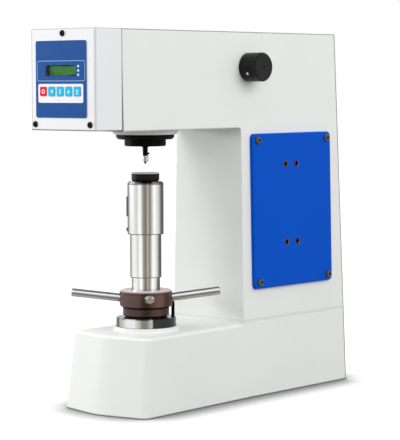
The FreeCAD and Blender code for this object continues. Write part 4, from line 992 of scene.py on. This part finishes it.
# %% Inserts in the side cover
COVER_THICK = 7.2
INSERT_ACROSS, INSERT_UP = (-20.7, 10.5), (-60.0, 83.6)
INSERT_PROFILE = [(0, -6.2), (4.4, -6.2), (4.4, 0.04), (6.2, 0.04), (6.2, 0.4), (5.9, 0.7),
                  (5.5, 0.7), (4.2, -0.6), (4.1, -5.2), (0, -5.2)]
outwards = facing(SIDE)
upwards = Vector((-outwards.z, 0, outwards.x))
cover_face = middle("side_cover") + outwards * COVER_THICK / 2 * MM
insert_spots = [cover_face + (Vector((0, across, 0)) + upwards * level) * MM
                for across in INSERT_ACROSS for level in INSERT_UP]
insert_bronze = plain_metal("insert bronze", (96, 70, 50), 0.34)
repeated("side_cover_inserts", lathe_mesh("insert", eased(INSERT_PROFILE, 0.12), 40),
         insert_spots, SIDE, insert_bronze, "machine")
print("inserts x", len(insert_spots))

# %% Mark on the force knob
MARK_ALONG, MARK_DROP = 17.9, math.radians(28)
MARK_PROFILE = [(0, -1.2), (2.7, -1.2), (2.7, -0.15), (2.3, 0.05), (0, 0.12)]
knob_low, knob_high = box_mm("selector_knob")
knob_radius = (knob_high.z - knob_low.z) / 2
outwards = Vector((0, -math.cos(MARK_DROP), -math.sin(MARK_DROP)))
mark_place = (knob_low + knob_high) / 2 + outwards * knob_radius
mark_place.x = knob_low.x + MARK_ALONG
turn = outwards.to_track_quat("Z", "Y").to_matrix().to_4x4()
mark_mesh = lathe_mesh("knob_mark", MARK_PROFILE, 32, Matrix.Translation(mark_place * MM) @ turn)
mark_white = moulded("mark white", (232, 232, 230), 0.4)
new_piece("knob_mark", mark_mesh, mark_white, "selector")
print("mark on a knob of radius %.1f mm" % knob_radius)

# %% [markdown]
# ## The preload spring
# The small coil spring under the sensor's arm is squeezed when the spindle goes down. Here it is
# swept again as a coil mesh with its own data, in place of the solid.

# %% Preload spring
WIRE, COIL_PITCH, AROUND, STROKE = 1.2, 4.0, 28, 0.8
spring_low, spring_high = box_mm("preload_spring")
spring_tall = spring_high.z - spring_low.z
coil_radius = (spring_high.x - spring_low.x) / 2 - WIRE
turns = (spring_tall - 2 * WIRE) / COIL_PITCH
work = bmesh.new()
rings = []
for step in range(int(turns * AROUND) + 1):
    angle = 2 * math.pi * step / AROUND
    outwards = Vector((math.cos(angle), math.sin(angle), 0))
    centre = outwards * coil_radius
    centre.z = spring_low.z + WIRE + COIL_PITCH * step / AROUND
    rings.append([work.verts.new((centre + WIRE * (outwards * math.cos(corner)
                                                   + Vector(UP) * math.sin(corner))) * MM)
                  for corner in around(10)])
for one, two in zip(rings, rings[1:]):
    join_rings(work, one, two)
for cap in (rings[0], rings[-1]):
    work.faces.new(cap)
spring_steel = plain_metal("spring steel", (150, 150, 152), 0.3)
spring = new_piece("preload_coil", closed_mesh(work, "preload_coil", 60), spring_steel, "machine",
                   ("preload_spring",))
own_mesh(spring)
print("spring of %.1f turns, %.1f mm tall" % (turns, spring_tall))

# %% [markdown]
# ## Studio
# The machine stands on a plain pale floor that glows just enough to be white to the camera, in
# reflections and through glass. The glow gives way beside the machine's foot, where an ambient
# occlusion node finds the floor shut in, so the floor keeps its shadow there.

# %% Floor
FLOOR_REACH, FLOOR_DROP = 9.0, 0.0006
floor_mesh = bpy.data.meshes.new("floor")
floor_mesh.from_pydata([(x * FLOOR_REACH, y * FLOOR_REACH, 0)
                        for x, y in ((-1, -1), (1, -1), (1, 1), (-1, 1))], [], [(0, 1, 2, 3)])
floor = add_object("floor", floor_mesh)
floor.location.z = -FLOOR_DROP
floor_finish = Finish("studio floor", (0.22, 0.22, 0.22), 0.6, Specular_IOR_Level=0.1)
nearby = floor_finish.add("AmbientOcclusion", Distance=0.085, samples=12)
openness = floor_finish.spread(nearby.outputs["AO"], 0, 0.86, 0.56, 0.96)
glow = floor_finish.calc("MULTIPLY", floor_finish.seen_directly(), openness)
floor_finish.shader.inputs["Emission Color"].default_value = (1, 1, 1, 1)
floor_finish.feed(floor_finish.shader.inputs["Emission Strength"], glow)
floor_mesh.materials.append(floor_finish.material)
print("floor %.0f m wide" % (2 * FLOOR_REACH))

# %% [markdown]
# The sky is white where it is seen directly and a little less strong as a light, so that pale
# paint keeps its shading.

# %% Sky
world = bpy.data.worlds.new("studio sky")
bpy.context.scene.world = world
world.use_nodes = True
sky = Nodes(world.node_tree)
background = world.node_tree.nodes["Background"].inputs
background["Color"].default_value = (1, 1, 1, 1)
sky.feed(background["Strength"], sky.spread(sky.seen_directly(), 0.90, 1.0, 0, 1))
print("sky on")

# %% [markdown]
# One large soft lamp stands in front and one on the right. A long low one on the left reaches
# into the throat between the arm and the base.

# %% Lamps
def lamp(name, place, aim, size, power):
    """A rectangular lamp that looks at a point. Places are in metres, power in watts."""
    light = bpy.data.lights.new(name, "AREA")
    light.shape = "RECTANGLE"
    light.size, light.size_y = size
    light.energy = power
    holder = add_object(name, light)
    holder.location = place
    holder.rotation_euler = (Vector(aim) - Vector(place)).to_track_quat("-Z", "Y").to_euler()


lamp("key lamp", (-0.9, -2.4, 1.9), (0, 0.1, 0.35), (1.2, 1.6), 28)
lamp("side lamp", (2.6, 0.3, 1.6), (0, 0.2, 0.40), (1.8, 1.8), 33)
lamp("throat lamp", (-1.7, -1.0, 0.64), (0, 0.15, 0.30), (0.9, 0.3), 13)
print("%d lamps" % len(bpy.data.lights))

# %% [markdown]
# ## Camera
# The camera stands about three metres away, to the right of the operator and level with the
# head, with a long lens that keeps the upright edges parallel. It is turned to its heading,
# tipped down and rolled, in degrees.

# %% Camera
HEADING, TIP, ROLL = 41.372, -4.185, -0.173
CAMERA_PLACE = (2.23426, -2.39217, 0.56784)
LENS, SENSOR = 152.8, 36
camera_data = bpy.data.cameras.new("camera")
camera_data.sensor_width, camera_data.lens = SENSOR, LENS
camera = add_object("camera", camera_data)
camera.matrix_world = Matrix.Translation(CAMERA_PLACE)
for degrees, axis in ((HEADING, "Z"), (90 + TIP, "X"), (ROLL, "Z")):
    camera.matrix_world @= Matrix.Rotation(math.radians(degrees), 4, axis)
bpy.context.scene.camera = camera
bpy.context.scene.view_settings.view_transform = "Standard"
print("camera %.1f m from the screw, lens %.0f mm" % (Vector(CAMERA_PLACE).xy.length, LENS))
